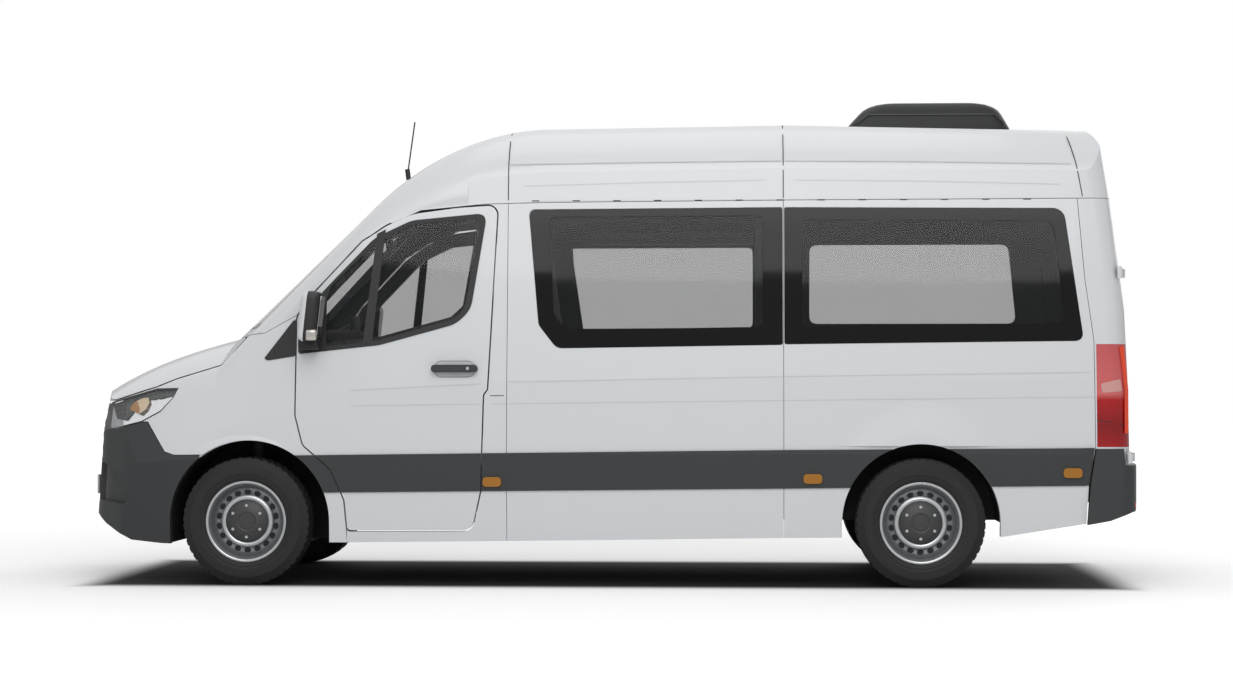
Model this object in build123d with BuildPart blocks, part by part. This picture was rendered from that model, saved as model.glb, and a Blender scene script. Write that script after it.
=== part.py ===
"""High-roof windowed van with a roof air unit, as separate panels, glass, running gear and cab fittings.

Millimetres, +Z up, +X to the rear, +Y to the vehicle's right. Stations along the body are
measured back from the front axle and turned into X by sx().
"""
import math
import os

from build123d import *

# limits of the cutting blocks
far_side = 1300
roof_clear = 2900

# overall sizes
front_overhang = 1004
wheelbase = 3665
rear_overhang = 1244
track = 1720
overall_length = front_overhang + wheelbase + rear_overhang
front_axle_x = front_overhang - overall_length / 2

# walls and gaps
wall = 55
nose_wall = 45
glass_thick = 8
strip_proud = 9
door_gap = 8
recess_depth = 25
seam_gap = 3

# wheels
tyre_radius = 350
tyre_width = 235
rim_radius = 222
rim_width = 196
hub_radius = 40
hub_play = 0.3
vent_circle = 159
vent_radius = 13
front_arch_radius = 440
front_arch_shift = 20
rear_arch_radius = 424
arch_height = 352
liner_thick = 8
liner_front_inner = 470
liner_rear_inner = 640
liner_front_low = 230
liner_rear_low = 352

# running gear
king_pin_y = 800
king_pin_radius = 22
frame_y = 380
frame_width = 70
frame_low = 440
floor_low = 600
floor_high = 650
floor_front = 130
floor_rear = 4750
tow_bar_y = 450
tow_bar_hole = 6.5
jack_stations = (1050, 2750)

# cab fittings
steering_station = 600
steering_y = -400
steering_z = 1300
steering_radius = 195
steering_tilt = 32
seat_y = 420
seat_width = 480

# door handles
handle_station = 1146
handle_z = 1183
handle_length = 252
handle_height = 42
cup_outline = [(1036, 1135), (1036, 1226), (1256, 1226), (1256, 1135)]
cup_radius = 40
slide_handle_shift = 450

# rear doors
rear_door_low = 668
rear_door_high = 2435
rear_hinge_low = (4776, 975, 705)
rear_hinge_high = (4735, 914, 1700)

# roof air unit
air_front = 3285
air_rear = 4205
air_half = 520
air_top = 2680

os.makedirs("parts", exist_ok=True)


def sx(station):
    return front_axle_x + station


def save(part, name):
    part.label = name
    export_step(part, f"parts/{name}.step")


# body sections, each a row from rear to front:
# station, top, edge height, edge half width, corner bulge, gutter height, gutter half width,
# belt height, belt half width, widest height, widest half width, sill half width
sections = [
    (4960, 2520, 2482, 660, 82, 2105, 898, 1150, 985, 720, 1000, 966),
    (2950, 2568, 2530, 660, 82, 2100, 898, 1140, 985, 720, 1000, 966),
    (1645, 2553, 2514, 660, 82, 2092, 898, 1115, 985, 720, 1000, 966),
    (1300, 2511, 2462, 670, 76, 2084, 900, 1105, 985, 720, 1000, 966),
    (950, 2376, 2296, 695, 62, 2050, 906, 1092, 986, 720, 1000, 966),
    (628, 2141, 2020, 720, 45, 1890, 922, 1075, 986, 720, 999, 966),
    (-175, 1371, 1205, 800, 26, 1090, 935, 850, 975, 700, 994, 962),
    (-450, 1294, 1126, 790, 26, 1000, 905, 800, 950, 680, 972, 940),
    (-720, 1190, 1045, 740, 22, 925, 850, 760, 885, 660, 905, 870),
    (-1060, 975, 866, 600, 20, 800, 700, 700, 740, 640, 760, 720),
]
# which rows each loft runs through, and whether it is straight between them
form_lofts = [((0, 1, 2), True), ((2, 3, 4, 5), False), ((5, 6), True), ((6, 7, 8, 9), False)]
sill_low = 185

# nose in plan, front axle stations and half widths, with corner radii
nose_plan = [(-200, 1040, 600), (-650, 950, 420), (-880, 700, 300), (-front_overhang, 250, 900)]
# how far the nose is drawn back: height, distance
nose_levels = [(100, -16.5), (850, 29), (roof_clear, 480)]
# rear end in plan: height, station of the rear face, half width
rear_plan = [
    (100, 4790, 962.5),
    (720, 4787, 1000.5),
    (1130, 4780, 985.5),
    (1500, 4768, 953.0),
    (2100, 4700, 899.0),
    (2700, 4610, 850.0),
]
rear_corner = 110


def form_section(row, inset):
    station, top, edge_z, edge_w, bulge, gut_z, gut_w, belt_z, belt_w, wide_z, wide_w, sill_w = row
    top = top - inset
    edge_z = edge_z - inset
    edge_w = edge_w - inset * 0.6
    gut_z = gut_z - inset * 0.3
    gut_w = gut_w - inset
    low = sill_low - (50 if inset > 0 else 0)
    run = math.hypot(edge_w - gut_w, edge_z - gut_z)
    mid_w = (gut_w + edge_w) / 2 + (edge_z - gut_z) / run * bulge
    mid_z = (gut_z + edge_z) / 2 - (edge_w - gut_w) / run * bulge
    side = [(sill_w - inset, low), (wide_w - inset, wide_z), (belt_w - inset, belt_z), (gut_w, gut_z)]
    other = [(-w, z) for w, z in reversed(side)]
    with BuildSketch(Plane.YZ.offset(sx(station))) as section:
        with BuildLine():
            Polyline(*side)
            ThreePointArc((gut_w, gut_z), (mid_w, mid_z), (edge_w, edge_z))
            ThreePointArc((edge_w, edge_z), (0, top), (-edge_w, edge_z))
            ThreePointArc((-edge_w, edge_z), (-mid_w, mid_z), (-gut_w, gut_z))
            Polyline(*other, side[0])
        make_face()
    return section.sketch


def nose_outline(z, back, inset):
    half = [(sx(6000), 1100)]
    radii = [10]
    for index, (station, half_width, radius) in enumerate(nose_plan):
        shift = back if index == 0 else back + inset
        half.append((sx(station) + shift, half_width - inset * 0.9))
        radii.append(radius)
    other = [(x, -y) for x, y in reversed(half)]
    with BuildSketch(Plane.XY.offset(z)) as outline:
        with BuildLine():
            FilletPolyline(*half, *other, radius=radii + radii[::-1], close=True)
        make_face()
    return outline.sketch


def rear_outline(z, station, half_width, inset):
    w = half_width - inset
    half = [
        (sx(-1500), far_side),
        (sx(1200), far_side),
        (sx(1210), w),
        (sx(station) - inset, w),
    ]
    radii = [10, 1, 1, rear_corner]
    other = [(x, -y) for x, y in reversed(half)]
    with BuildSketch(Plane.XY.offset(z)) as outline:
        with BuildLine():
            FilletPolyline(*half, *other, radius=radii + radii[::-1], close=True)
        make_face()
    return outline.sketch


def body_form(inset, nose_inset):
    """The whole outer shape of the body, drawn in by inset all round."""
    with BuildPart() as form:
        for rows, straight in form_lofts:
            loft([form_section(sections[i], inset) for i in rows], ruled=straight)
    with BuildPart() as nose:
        loft([nose_outline(z, back, nose_inset) for z, back in nose_levels], ruled=True)
    with BuildPart() as rear:
        loft([rear_outline(z, s, w, inset) for z, s, w in rear_plan], ruled=True)
    with BuildPart() as roof_end:
        with BuildSketch(Plane.XZ):
            with BuildLine():
                FilletPolyline(
                    (sx(-1500), 0),
                    (sx(-1500), roof_clear),
                    (sx(3000), roof_clear),
                    (sx(3000), 2600),
                    (sx(4300), 2562 - inset),
                    (sx(4625) - inset, 2545 - inset),
                    (sx(4800) - inset * 0.9, 1500),
                    (sx(4860), 0),
                    radius=[1, 1, 1, 1, 1, 230, 1000, 1],
                    close=True,
                )
            make_face()
        extrude(amount=far_side, both=True)
    return form.part & nose.part & rear.part & roof_end.part


outer = body_form(0, 0)
glass_line = body_form(glass_thick, glass_thick)
inner = body_form(wall, nose_wall)
strip_line = body_form(-strip_proud, -strip_proud)
recess_line = body_form(recess_depth, recess_depth)
shell = outer - inner
skin = outer - glass_line


def side_prism(points, radius=0, grow=0.0, near=500, far=far_side):
    """A side view outline of stations and heights, swept over the left side from near to far."""
    placed = [(sx(s), z) for s, z in points]
    with BuildPart() as prism:
        with BuildSketch(Plane.XZ.offset(near)):
            with BuildLine():
                if radius:
                    FilletPolyline(*placed, radius=radius, close=True)
                else:
                    Polyline(*placed, close=True)
            make_face()
            if grow:
                offset(amount=grow)
        extrude(amount=far - near)
    return prism.part


def cross_prism(points, radius=0, grow=0.0, half=far_side):
    """A side view outline swept over the whole width."""
    return side_prism(points, radius, grow, -half, half)


def front_prism(points, radius, low_station, high_station, grow=0.0):
    """A face in the front view from half widths and heights, swept between two stations."""
    with BuildPart() as prism:
        with BuildSketch(Plane.YZ.offset(sx(low_station))):
            with BuildLine():
                FilletPolyline(*points, radius=radius, close=True)
            make_face()
            if grow:
                offset(amount=grow)
        extrude(amount=high_station - low_station)
    return prism.part


def span(station_low, station_high, y_low, y_high, z_low, z_high):
    """A block between two stations, two widths and two heights."""
    with BuildPart() as block:
        with Locations(
            (sx((station_low + station_high) / 2), (y_low + y_high) / 2, (z_low + z_high) / 2)
        ):
            Box(station_high - station_low, y_high - y_low, z_high - z_low)
    return block.part


def side_pane(prism, station_low, station_high):
    """A sheet of glass let into the outer face of the left side."""
    block = span(station_low, station_high, -far_side, -500, 1000, 2300)
    return ((outer & block) - (glass_line & block)) & prism


def rod(start, end, radius):
    """A round bar between two points."""
    path = Vector(*end) - Vector(*start)
    with BuildPart() as bar:
        with BuildSketch(Plane(origin=start, z_dir=path)):
            Circle(radius)
        extrude(amount=path.length)
    return bar.part


def wheel_hole(station, radius, grow=0.0):
    """The round arch opening through both sides."""
    with BuildPart() as hole:
        with BuildSketch(Plane.XZ):
            with Locations((sx(station), arch_height)):
                Circle(radius + grow)
            with Locations((sx(station), arch_height - 400)):
                Rectangle(2 * (radius + grow), 800)
        extrude(amount=far_side, both=True)
    return hole.part


def pair(part):
    """The left piece and its mirror image, as two solids."""
    return Part(children=[]) + part + mirror(part, about=Plane.XZ)


def one(shape):
    """A boolean's outcome as one part, whatever list it comes back as."""
    return Part(children=[]) + shape


# outlines in the side view
door_outline = [
    (276, 1462),
    (276, 930),
    (318, 770),
    (470, 640),
    (545, 470),
    (560, 305),
    (1236, 305),
    (1286, 520),
    (1300, 1040),
    (1322, 1072),
    (1372, 2076),
    (1150, 2062),
    (900, 2028),
    (760, 1962),
    (628, 1872),
    (352, 1578),
]
door_radii = [40, 30, 60, 60, 60, 20, 60, 60, 12, 12, 50, 300, 300, 200, 200, 60]
door_glass_outline = [
    (300, 1276),
    (428, 1286),
    (730, 1313),
    (1142, 1427),
    (1224, 1503),
    (1312, 2030),
    (900, 1990),
    (700, 1895),
    (455, 1641),
    (300, 1470),
]
door_glass_radii = [20, 60, 300, 60, 60, 45, 100, 100, 60, 30]
bonnet_outline = [
    (-1100, 992),
    (-769, 1016),
    (-527, 1088),
    (-415, 1134),
    (-163, 1210),
    (-79, 1317),
    (-40, 1366),
    (-40, 1450),
    (-1100, 1450),
]
bonnet_rear = [(-1200, 1000), (-40, 1000), (-40, 765), (-150, 420), (-192, 0)]
pillar_outline = [
    (-240, 1290),
    (-46, 1369),
    (95, 1380),
    (273, 1478),
    (352, 1592),
    (628, 1886),
    (790, 1978),
    (660, 2172),
    (560, 2300),
    (-240, 1700),
]
gutter_line = [(790, 1978), (950, 2050), (1300, 2084), (1645, 2092), (2950, 2100), (4960, 2105)]
roof_outline = [(660, 2172)] + gutter_line + [(4960, 2800), (560, 2800), (560, 2300)]
lamp_outline = [
    (-1100, 985),
    (-769, 1007),
    (-655, 1037),
    (-515, 1076),
    (-388, 1078),
    (-414, 1023),
    (-487, 945),
    (-598, 888),
    (-760, 850),
    (-1100, 830),
]
lamp_inner = 560


def under_gutter(station):
    """A point of the seam below the gutter, at the given station."""
    for (low, low_z), (high, high_z) in zip(gutter_line, gutter_line[1:]):
        if low <= station <= high:
            return (station, low_z + (high_z - low_z) * (station - low) / (high - low) - seam_gap)


bumper_outline = [
    (-1100, 830),
    (-760, 850),
    (-598, 888),
    (-561, 892),
    (-450, 728),
    (-395, 711),
    (-250, 711),
    (-250, 222),
    (-474, 229),
    (-648, 245),
    (-822, 328),
    (-885, 372),
    (-1100, 372),
]
grille_half = 555
grille_low = 640
grille_high = 990
grille_rows = 4
grille_edge = 30
grille_bar = 26
grille_pitch = (grille_high - grille_low - 2 * grille_edge) / grille_rows
scallop_inner = 560
scallop_outline = [(-1100, 690), (-848, 663), (-724, 598), (-670, 487), (-690, 440), (-1100, 470)]
intake_half = 500
intake_low = 430
intake_high = 590
wing_outline = [
    (-769, 1012),
    (-527, 1084),
    (-415, 1130),
    (-163, 1206),
    (-79, 1313),
    (-42, 1366),
    (95, 1377),
    (272, 1474),
    (272, 930),
    (316, 768),
    (470, 632),
    (540, 470),
    (556, 238),
    (-250, 238),
    (-250, 714),
    (-395, 714),
    (-448, 731),
    (-556, 894),
    (-769, 894),
]
seam_b = 1430
seam_c = 2929
rear_seam = [under_gutter(4514), (4549, 1655), (4591, 1334), (4594, 756), (4561, 575), (4548, 350)]
window_front_outline = [(1542, 2053), (2925, 2060), (2925, 1310), (1700, 1292), (1600, 1420)]
window_front_radii = [30, 12, 12, 60, 60]
window_rear_outline = [(2933, 2060), (4440, 2050), (4537, 1330), (2933, 1313)]
window_rear_radii = [12, 70, 40, 12]
opening_front = [(1640, 2018), (2828, 2022), (2828, 1398), (1730, 1384)]
opening_rear = [(3018, 2000), (4394, 1992), (4454, 1414), (3018, 1400)]
opening_radius = 50
strip_top = [(250, 711), (1423, 726), (2935, 744), (4700, 757)]
strip_bottom = [(250, 507), (1423, 520), (2935, 536), (4700, 556)]
screen_outline = [(812, 1404), (-812, 1404), (-690, 2080), (690, 2080)]
screen_radii = [70, 70, 90, 90]

# prisms that more than one panel is cut with
door_hole = side_prism(door_outline, door_radii, door_gap)
door_block = side_prism(door_outline, door_radii)


def ahead_of_screen(back):
    """Everything ahead of the curved rear edge of the bonnet, moved back by back."""
    half = [(sx(s) + back, w) for s, w in bonnet_rear]
    other = [(x, -y) for x, y in reversed(half[:-1])]
    radii = [1, 1, 1, 500, 900]
    with BuildPart() as block:
        with BuildSketch(Plane.XY):
            with BuildLine():
                FilletPolyline(*half, *other, radius=radii + radii[-2::-1], close=True)
            make_face()
        extrude(amount=roof_clear)
    return block.part


bonnet_hole = cross_prism(bonnet_outline, 0, door_gap) & ahead_of_screen(door_gap)
front_hole = wheel_hole(front_arch_shift, front_arch_radius)
rear_hole = wheel_hole(wheelbase, rear_arch_radius)
screen_block = front_prism(screen_outline, screen_radii, -400, 760)
left_half = span(-1500, 6000, -far_side, 0, 0, roof_clear)
lamp_block = side_prism(lamp_outline, 0, 0, lamp_inner)
grille_block = span(-1100, -700, -grille_half, grille_half, grille_low, grille_high)

# cab door, left then right
door_pane_face = side_prism(door_glass_outline, door_glass_radii)
door_view = side_prism(door_glass_outline, door_glass_radii, -42)
door_pane = skin & door_pane_face
door_trim = side_prism([(590, 360), (560, 1180), (1250, 1180), (1210, 360)], 40, 0, 885, 945)
cup_block = span(900, 1400, -far_side, -700, 1050, 1320)
handle_cup = ((outer & cup_block) - (recess_line & cup_block)) & side_prism(cup_outline, cup_radius)
cab_door = one((shell & door_block) - door_pane - door_view - handle_cup + (door_trim & inner))
with BuildPart() as handle:
    with BuildSketch(Plane.XZ.offset(955)):
        with Locations((sx(handle_station), handle_z)):
            RectangleRounded(handle_length, handle_height, handle_height * 0.48)
    extrude(amount=63)
door_handle = one(handle.part - outer)
save(cab_door, "cab_door_left")
save(mirror(cab_door, about=Plane.XZ), "cab_door_right")
save(one(door_pane), "cab_door_glass_left")
save(mirror(one(door_pane), about=Plane.XZ), "cab_door_glass_right")

# bonnet
bonnet = one((shell & cross_prism(bonnet_outline)) & ahead_of_screen(0))
save(bonnet, "bonnet")

# windscreen and the frame round it
windscreen = one(skin & screen_block)
save(windscreen, "windscreen")
screen_view = front_prism(screen_outline, screen_radii, -400, 760, -38)
pillars = one((shell & cross_prism(pillar_outline)) - windscreen - screen_view - bonnet_hole)
pillars = one(pillars - door_hole - mirror(door_hole, about=Plane.XZ))
save(pillars, "windscreen_frame")

# roof
roof = one(shell & cross_prism(roof_outline))
rear_door_points = [(-885, rear_door_low), (-890, 1150), (-802, 2150), (-700, rear_door_high)]
rear_door_outline = rear_door_points + [(-y, z) for y, z in reversed(rear_door_points)]
rear_door_radii = [30, 400, 400, 80, 80, 400, 400, 30]
rear_hole = wheel_hole(wheelbase, rear_arch_radius)
rear_opening = front_prism(rear_door_outline, rear_door_radii, 4400, 5000, 8)
roof = one(roof - rear_opening)
save(roof, "roof")

# headlamps, bumper, grille and wings
headlamp = one((shell & lamp_block) - bonnet_hole)
save(pair(headlamp), "headlamps")
bumper = (shell & cross_prism(bumper_outline)) - wheel_hole(front_arch_shift, front_arch_radius) - grille_block
front_block = span(-1100, -500, -far_side, far_side, 150, 1100)
front_recess = (outer & front_block) - (recess_line & front_block)
scallop = side_prism(scallop_outline, 0, 0, scallop_inner)
intake = span(-1100, -700, -intake_half, intake_half, intake_low, intake_high)
bumper = bumper - (front_recess & scallop) - (front_recess & mirror(scallop, about=Plane.XZ))
save(one(bumper - (front_recess & intake)), "front_bumper")
with BuildPart() as grille_slots:
    with BuildSketch(Plane.YZ.offset(sx(-1100))):
        for row in range(grille_rows):
            with Locations((0, grille_low + grille_edge + (row + 0.5) * grille_pitch)):
                RectangleRounded(2 * (grille_half - grille_edge), grille_pitch - grille_bar, 10)
    extrude(amount=500)
save(one((shell & grille_block) - (front_recess & grille_slots.part)), "grille")
wing = (shell & side_prism(wing_outline)) - front_hole - bonnet_hole - door_hole - lamp_block
save(pair(one(wing)), "front_wings")

# sills and door posts
post_outline = [
    (556, 238),
    (seam_b - seam_gap / 2, 248),
    under_gutter(seam_b - seam_gap / 2),
    under_gutter(1300),
    under_gutter(1150),
    (1150, 400),
    (559, 400),
]
door_stop = inner & span(1255, 1410, -960, -915, 660, 800)
door_post = (shell & side_prism(post_outline)) - door_hole - front_hole + door_stop
save(pair(one(door_post)), "door_posts")

# side panels behind the posts
mid_outline = [
    (seam_b + seam_gap / 2, 248),
    (seam_c - seam_gap / 2, 269),
    under_gutter(seam_c - seam_gap / 2),
    under_gutter(1645),
    under_gutter(seam_b + seam_gap / 2),
]
pane_front = side_pane(side_prism(window_front_outline, window_front_radii), 1480, 2960)
mid_panel = (shell & side_prism(mid_outline)) - pane_front - side_prism(opening_front, opening_radius)
save(one(mid_panel), "side_panel_left")
slide_handle = Pos(slide_handle_shift, 0, 0) * door_handle
save(mirror(one(mid_panel + slide_handle), about=Plane.XZ), "sliding_door")
quarter_outline = [under_gutter(2950), under_gutter(seam_c + seam_gap / 2), (seam_c + seam_gap / 2, 269), (4102, 279)]
quarter_outline += [(s - seam_gap, z) for s, z in reversed(rear_seam)]
pane_rear = side_pane(side_prism(window_rear_outline, window_rear_radii), 2900, 4600)
quarter = (shell & side_prism(quarter_outline)) - pane_rear - side_prism(opening_rear, opening_radius) - rear_hole
save(pair(one(quarter)), "quarter_panels")
save(pair(one(pane_front)) + pair(one(pane_rear)), "side_windows")

# rear corner posts, lamps, doors and bumper
corner_outline = rear_seam[:3] + [(4594, 752.3), (4745, 752.3), (4755, 663), (4950, 663), under_gutter(4950)]
corner_block = side_prism(corner_outline, 0, 0, 780)
rear_lamp_front = 4601
rear_lamp_low = 762
rear_lamp_high = 1313
rear_lamp_block = span(rear_lamp_front, 5000, -far_side, -860, rear_lamp_low, rear_lamp_high)
lamp_cut = span(rear_lamp_front - 0.3, 5000, -far_side, -860, rear_lamp_low - 0.3, rear_lamp_high + 0.3)
rear_stop = inner & span(4672, 4750, -960, -850, 1350, 1450)
rear_zone = span(4400, 5000, -far_side, 0, 600, 2500)
rear_outer = outer & rear_zone
rear_shell = rear_outer - (inner & rear_zone)
corner_wall = (rear_shell & corner_block) - (rear_opening & rear_zone)
corner = corner_wall - lamp_cut + rear_stop
save(pair(one(corner)), "rear_posts")
save(pair(one(corner_wall & rear_lamp_block)), "rear_lamps")

rear_glass_points = [(-800, 1360), (-745, 1990), (-60, 1990), (-60, 1360)]
rear_door_block = front_prism(rear_door_outline, rear_door_radii, 4400, 5000) & span(4400, 5000, -far_side, -4, 0, 2900)
rear_pane = (rear_outer - (glass_line & rear_zone)) & front_prism(rear_glass_points, 50, 4500, 5000)
rear_view = front_prism(rear_glass_points, 50, 4400, 5000, -40)
rear_wall = rear_shell & rear_door_block
rear_door = one(rear_wall - rear_pane - rear_view)


def rear_hinges():
    """Two barrels on the hinge line and the arms that carry the door on them."""
    low = Vector(sx(rear_hinge_low[0]), -rear_hinge_low[1], rear_hinge_low[2])
    high = Vector(sx(rear_hinge_high[0]), -rear_hinge_high[1], rear_hinge_high[2])
    lean = (high - low).normalized()
    arms = None
    for centre, door_y in ((low, -870), (high, -815)):
        base = centre - lean * 32
        tip = centre + lean * 32
        barrel = rod(tuple(base), tuple(tip), 13)
        with BuildPart() as arm:
            with BuildSketch(Plane.XY.offset(centre.Z - 22)):
                with BuildLine():
                    Polyline(
                        (centre.X + 1, centre.Y - 9),
                        (centre.X + 12, centre.Y - 9),
                        (centre.X + 50, door_y + 30),
                        (centre.X + 50, door_y + 52),
                        (centre.X - 2, door_y + 52),
                        (centre.X + 34, door_y + 30),
                        close=True,
                    )
                make_face()
            extrude(amount=44)
        piece = barrel + arm.part
        arms = piece if arms is None else arms + piece
    return one(arms)


rear_door = one(rear_door + (rear_hinges() - outer))
save(rear_door, "rear_door_left")
save(mirror(rear_door, about=Plane.XZ), "rear_door_right")
save(one(rear_pane), "rear_door_glass_left")
save(mirror(one(rear_pane), about=Plane.XZ), "rear_door_glass_right")

bumper_end = sx(wheelbase + rear_overhang)
with BuildPart() as rear_bumper:
    with BuildSketch(Plane.XY.offset(340)):
        with BuildLine():
            FilletPolyline(
                (sx(4550), 1003), (sx(4800), 1003), (sx(4878), 560), (bumper_end, 300),
                (bumper_end, -300), (sx(4878), -560), (sx(4800), -1003), (sx(4550), -1003),
                radius=[1, 90, 300, 300, 300, 300, 90, 1], close=True,
            )
        make_face()
    extrude(amount=420)
    add(span(4400, 4795, -952, 952, 300, 800), mode=Mode.SUBTRACT)
    add(span(4700, 5000, -900, 900, 655, 800), mode=Mode.SUBTRACT)
bumper_side = [
    (4552, 345),
    (4568, 575),
    (4597, 752),
    (4742, 752),
    (4752, 662.7),
    (4990, 662.7),
    (4990, 420),
    (4794, 414),
    (4671, 367),
]
save(one(rear_bumper.part & cross_prism(bumper_side)), "rear_bumper")

# rub strips along the fixed sides
strip_outline = strip_bottom + strip_top[::-1]
strip_block = side_prism(strip_outline)
strip_zone = span(200, 4720, -far_side, -800, 450, 820)
side_rind = ((strip_line & strip_zone) - (outer & strip_zone)) & strip_block
fixed_strip = side_rind - door_hole - wheel_hole(wheelbase, rear_arch_radius) - front_hole
fixed_strip = fixed_strip - span(4540, 5000, -1100, 0, 0, 900)
save(pair(one(fixed_strip)), "side_strips")
door_strip = one(side_rind & door_block)

# amber side markers
marker_places = [(1352, 570), (3084, 589), (4470, 623)]
with BuildPart() as markers:
    for station, height in marker_places:
        with BuildSketch(Plane.XZ.offset(985)):
            with Locations((sx(station), height)):
                RectangleRounded(100, 52, 20)
    extrude(amount=30)
save(pair(one(markers.part - strip_line)), "side_markers")

# fittings on the cab doors and the mirrors
door_fittings = door_handle + door_strip
save(one(door_fittings), "cab_door_fittings_left")
save(mirror(one(door_fittings), about=Plane.XZ), "cab_door_fittings_right")
with BuildPart() as door_mirror:
    with BuildSketch(Plane.XZ.offset(1015)):
        with Locations((sx(378), 1455)):
            RectangleRounded(110, 250, 40)
    with BuildSketch(Plane.XZ.offset(1100)):
        with Locations((sx(376), 1452)):
            RectangleRounded(136, 290, 50)
    with BuildSketch(Plane.XZ.offset(1172)):
        with Locations((sx(384), 1452)):
            RectangleRounded(110, 262, 45)
    loft()
    add(span(310, 400, -1060, -940, 1290, 1370))
mirror_piece = one(door_mirror.part - outer)
save(mirror_piece, "door_mirror_left")
save(mirror(mirror_piece, about=Plane.XZ), "door_mirror_right")

# floor, bulkhead and dashboard
front_liner_block = wheel_hole(front_arch_shift, front_arch_radius, liner_thick + 4)
rear_liner_block = wheel_hole(wheelbase, rear_arch_radius, liner_thick + 4)
outboard_front = span(-900, 900, -far_side, -liner_front_inner, 0, 1200) + span(
    -900, 900, liner_front_inner, far_side, 0, 1200
)
outboard_rear = span(3000, 4600, -far_side, -liner_rear_inner, 0, 1200) + span(
    3000, 4600, liner_rear_inner, far_side, 0, 1200
)
floor = inner & span(floor_front, floor_rear, -far_side, far_side, floor_low, floor_high)
floor = floor - (front_liner_block & outboard_front) - (rear_liner_block & outboard_rear)
for side in (-1, 1):
    low, high = sorted((side * 870, side * far_side))
    floor = floor - span(240, 1345, low, high, 0, 1200)
save(one(floor), "floor_pan")
bulkhead = inner & span(floor_front - 30, floor_front, -far_side, far_side, floor_low, 1345)
cowl_shelf = inner & span(-150, floor_front, -790, 790, 1290, 1320)
bulkhead = (bulkhead + cowl_shelf) - (front_liner_block & outboard_front)
save(one(bulkhead), "bulkhead")


def liner(station, radius, inner_y, low):
    """An arch lining: a curved sheet over the wheel with its inner wall, open below."""
    arch = wheel_hole(station, radius + liner_thick) & span(station - 600, station + 600, -930, -inner_y, low, 1200)
    hollow = wheel_hole(station, radius) & span(
        station - 600, station + 600, -far_side, -inner_y - liner_thick, 0, 1200
    )
    arm_slot = span(station - 85, station + 85, -inner_y - 40, -inner_y + 10, 190, 530)
    return one((arch & inner) - hollow - arm_slot)


liners = liner(front_arch_shift, front_arch_radius + 3.7, liner_front_inner, liner_front_low) + liner(
    wheelbase, rear_arch_radius + 3.7, liner_rear_inner, liner_rear_low
)
save(pair(one(liners)), "arch_liners")

dash_outline = [(floor_front, 820), (floor_front, 1318), (330, 1345), (470, 1300), (520, 1180), (440, 1060), (330, 800)]
dash = cross_prism(dash_outline, 25, 0, 880) & inner

# steering wheel on its own axis
wheel_plane = Plane(
    origin=(sx(steering_station), steering_y, steering_z),
    z_dir=(math.sin(math.radians(steering_tilt)), 0, math.cos(math.radians(steering_tilt))),
)
with BuildPart() as steering:
    with BuildSketch(Plane(origin=wheel_plane.origin, x_dir=wheel_plane.x_dir, z_dir=wheel_plane.y_dir)):
        with Locations((steering_radius - 16, 0)):
            Circle(16)
    revolve(axis=Axis(wheel_plane.origin, wheel_plane.z_dir))
    with BuildSketch(wheel_plane.offset(-30)):
        Circle(68)
    extrude(amount=38)
    with BuildSketch(wheel_plane.offset(-14)):
        for angle in (0, 120, 240):
            with Locations(Rot(0, 0, angle) * Pos(115, 0)):
                Rectangle(140, 40)
    extrude(amount=18)
save(one(steering.part), "steering_wheel")
with BuildPart() as column:
    with BuildSketch(wheel_plane.offset(-30.3)):
        Circle(45)
    extrude(amount=-230)
save(one(dash + column.part), "dashboard")

# cab seats
seat_outline = [
    (760, 990),
    (1250, 960),
    (1330, 1030),
    (1425, 1720),
    (1420, 1940),
    (1360, 1940),
    (1330, 1740),
    (1230, 1130),
    (800, 1130),
    (740, 1090),
]
seat = side_prism(seat_outline, 28, 0, seat_y - seat_width / 2, seat_y + seat_width / 2)
seat = seat + span(820, 1230, -seat_y - 190, -seat_y + 190, floor_high, 1000)
save(pair(one(seat)), "cab_seats")

# engine, driveline, tank and exhaust
engine = span(-560, 0, -300, 300, 500, 1030) + span(-10, 760, -150, 150, 440, 590)
save(one(engine), "engine")
shaft = rod((sx(762.5), 0, 500), (sx(wheelbase - 213), 0, 372), 40)
save(one(shaft), "prop_shaft")
save(span(1450, 2350, -860, -430, 300, floor_low), "fuel_tank")
exhaust = rod((sx(780), 520, 480), (sx(2950), 520, 480), 30) + rod((sx(1700), 520, 480), (sx(2450), 520, 480), 85)
exhaust = exhaust + span(1900, 1940, 505, 535, 500, floor_low) + span(2880, 2920, 505, 535, 490, floor_low)
save(one(exhaust), "exhaust")

# chassis rails, cross members and spring hangers
rails = span(-830, 4740, -frame_y - frame_width / 2, -frame_y + frame_width / 2, frame_low, floor_low)
rails = rails + span(-830, 4740, frame_y - frame_width / 2, frame_y + frame_width / 2, frame_low, floor_low)
for station in (900, 1900, 2850, 4300):
    rails = rails + span(station, station + 60, -frame_y, frame_y, 545, floor_low)
for station in (-830, 4680):
    rails = rails + span(station, station + 60, -frame_y - 120, frame_y + 120, frame_low, 580)
rails = rails + span(-330, -250, -frame_y, frame_y, frame_low, 500)
for side in (-1, 1):
    for station in (2990, 4330):
        low, high = sorted((side * 400, side * 560))
        rails = rails + span(station, station + 60, low, high, 470, floor_low)
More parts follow.
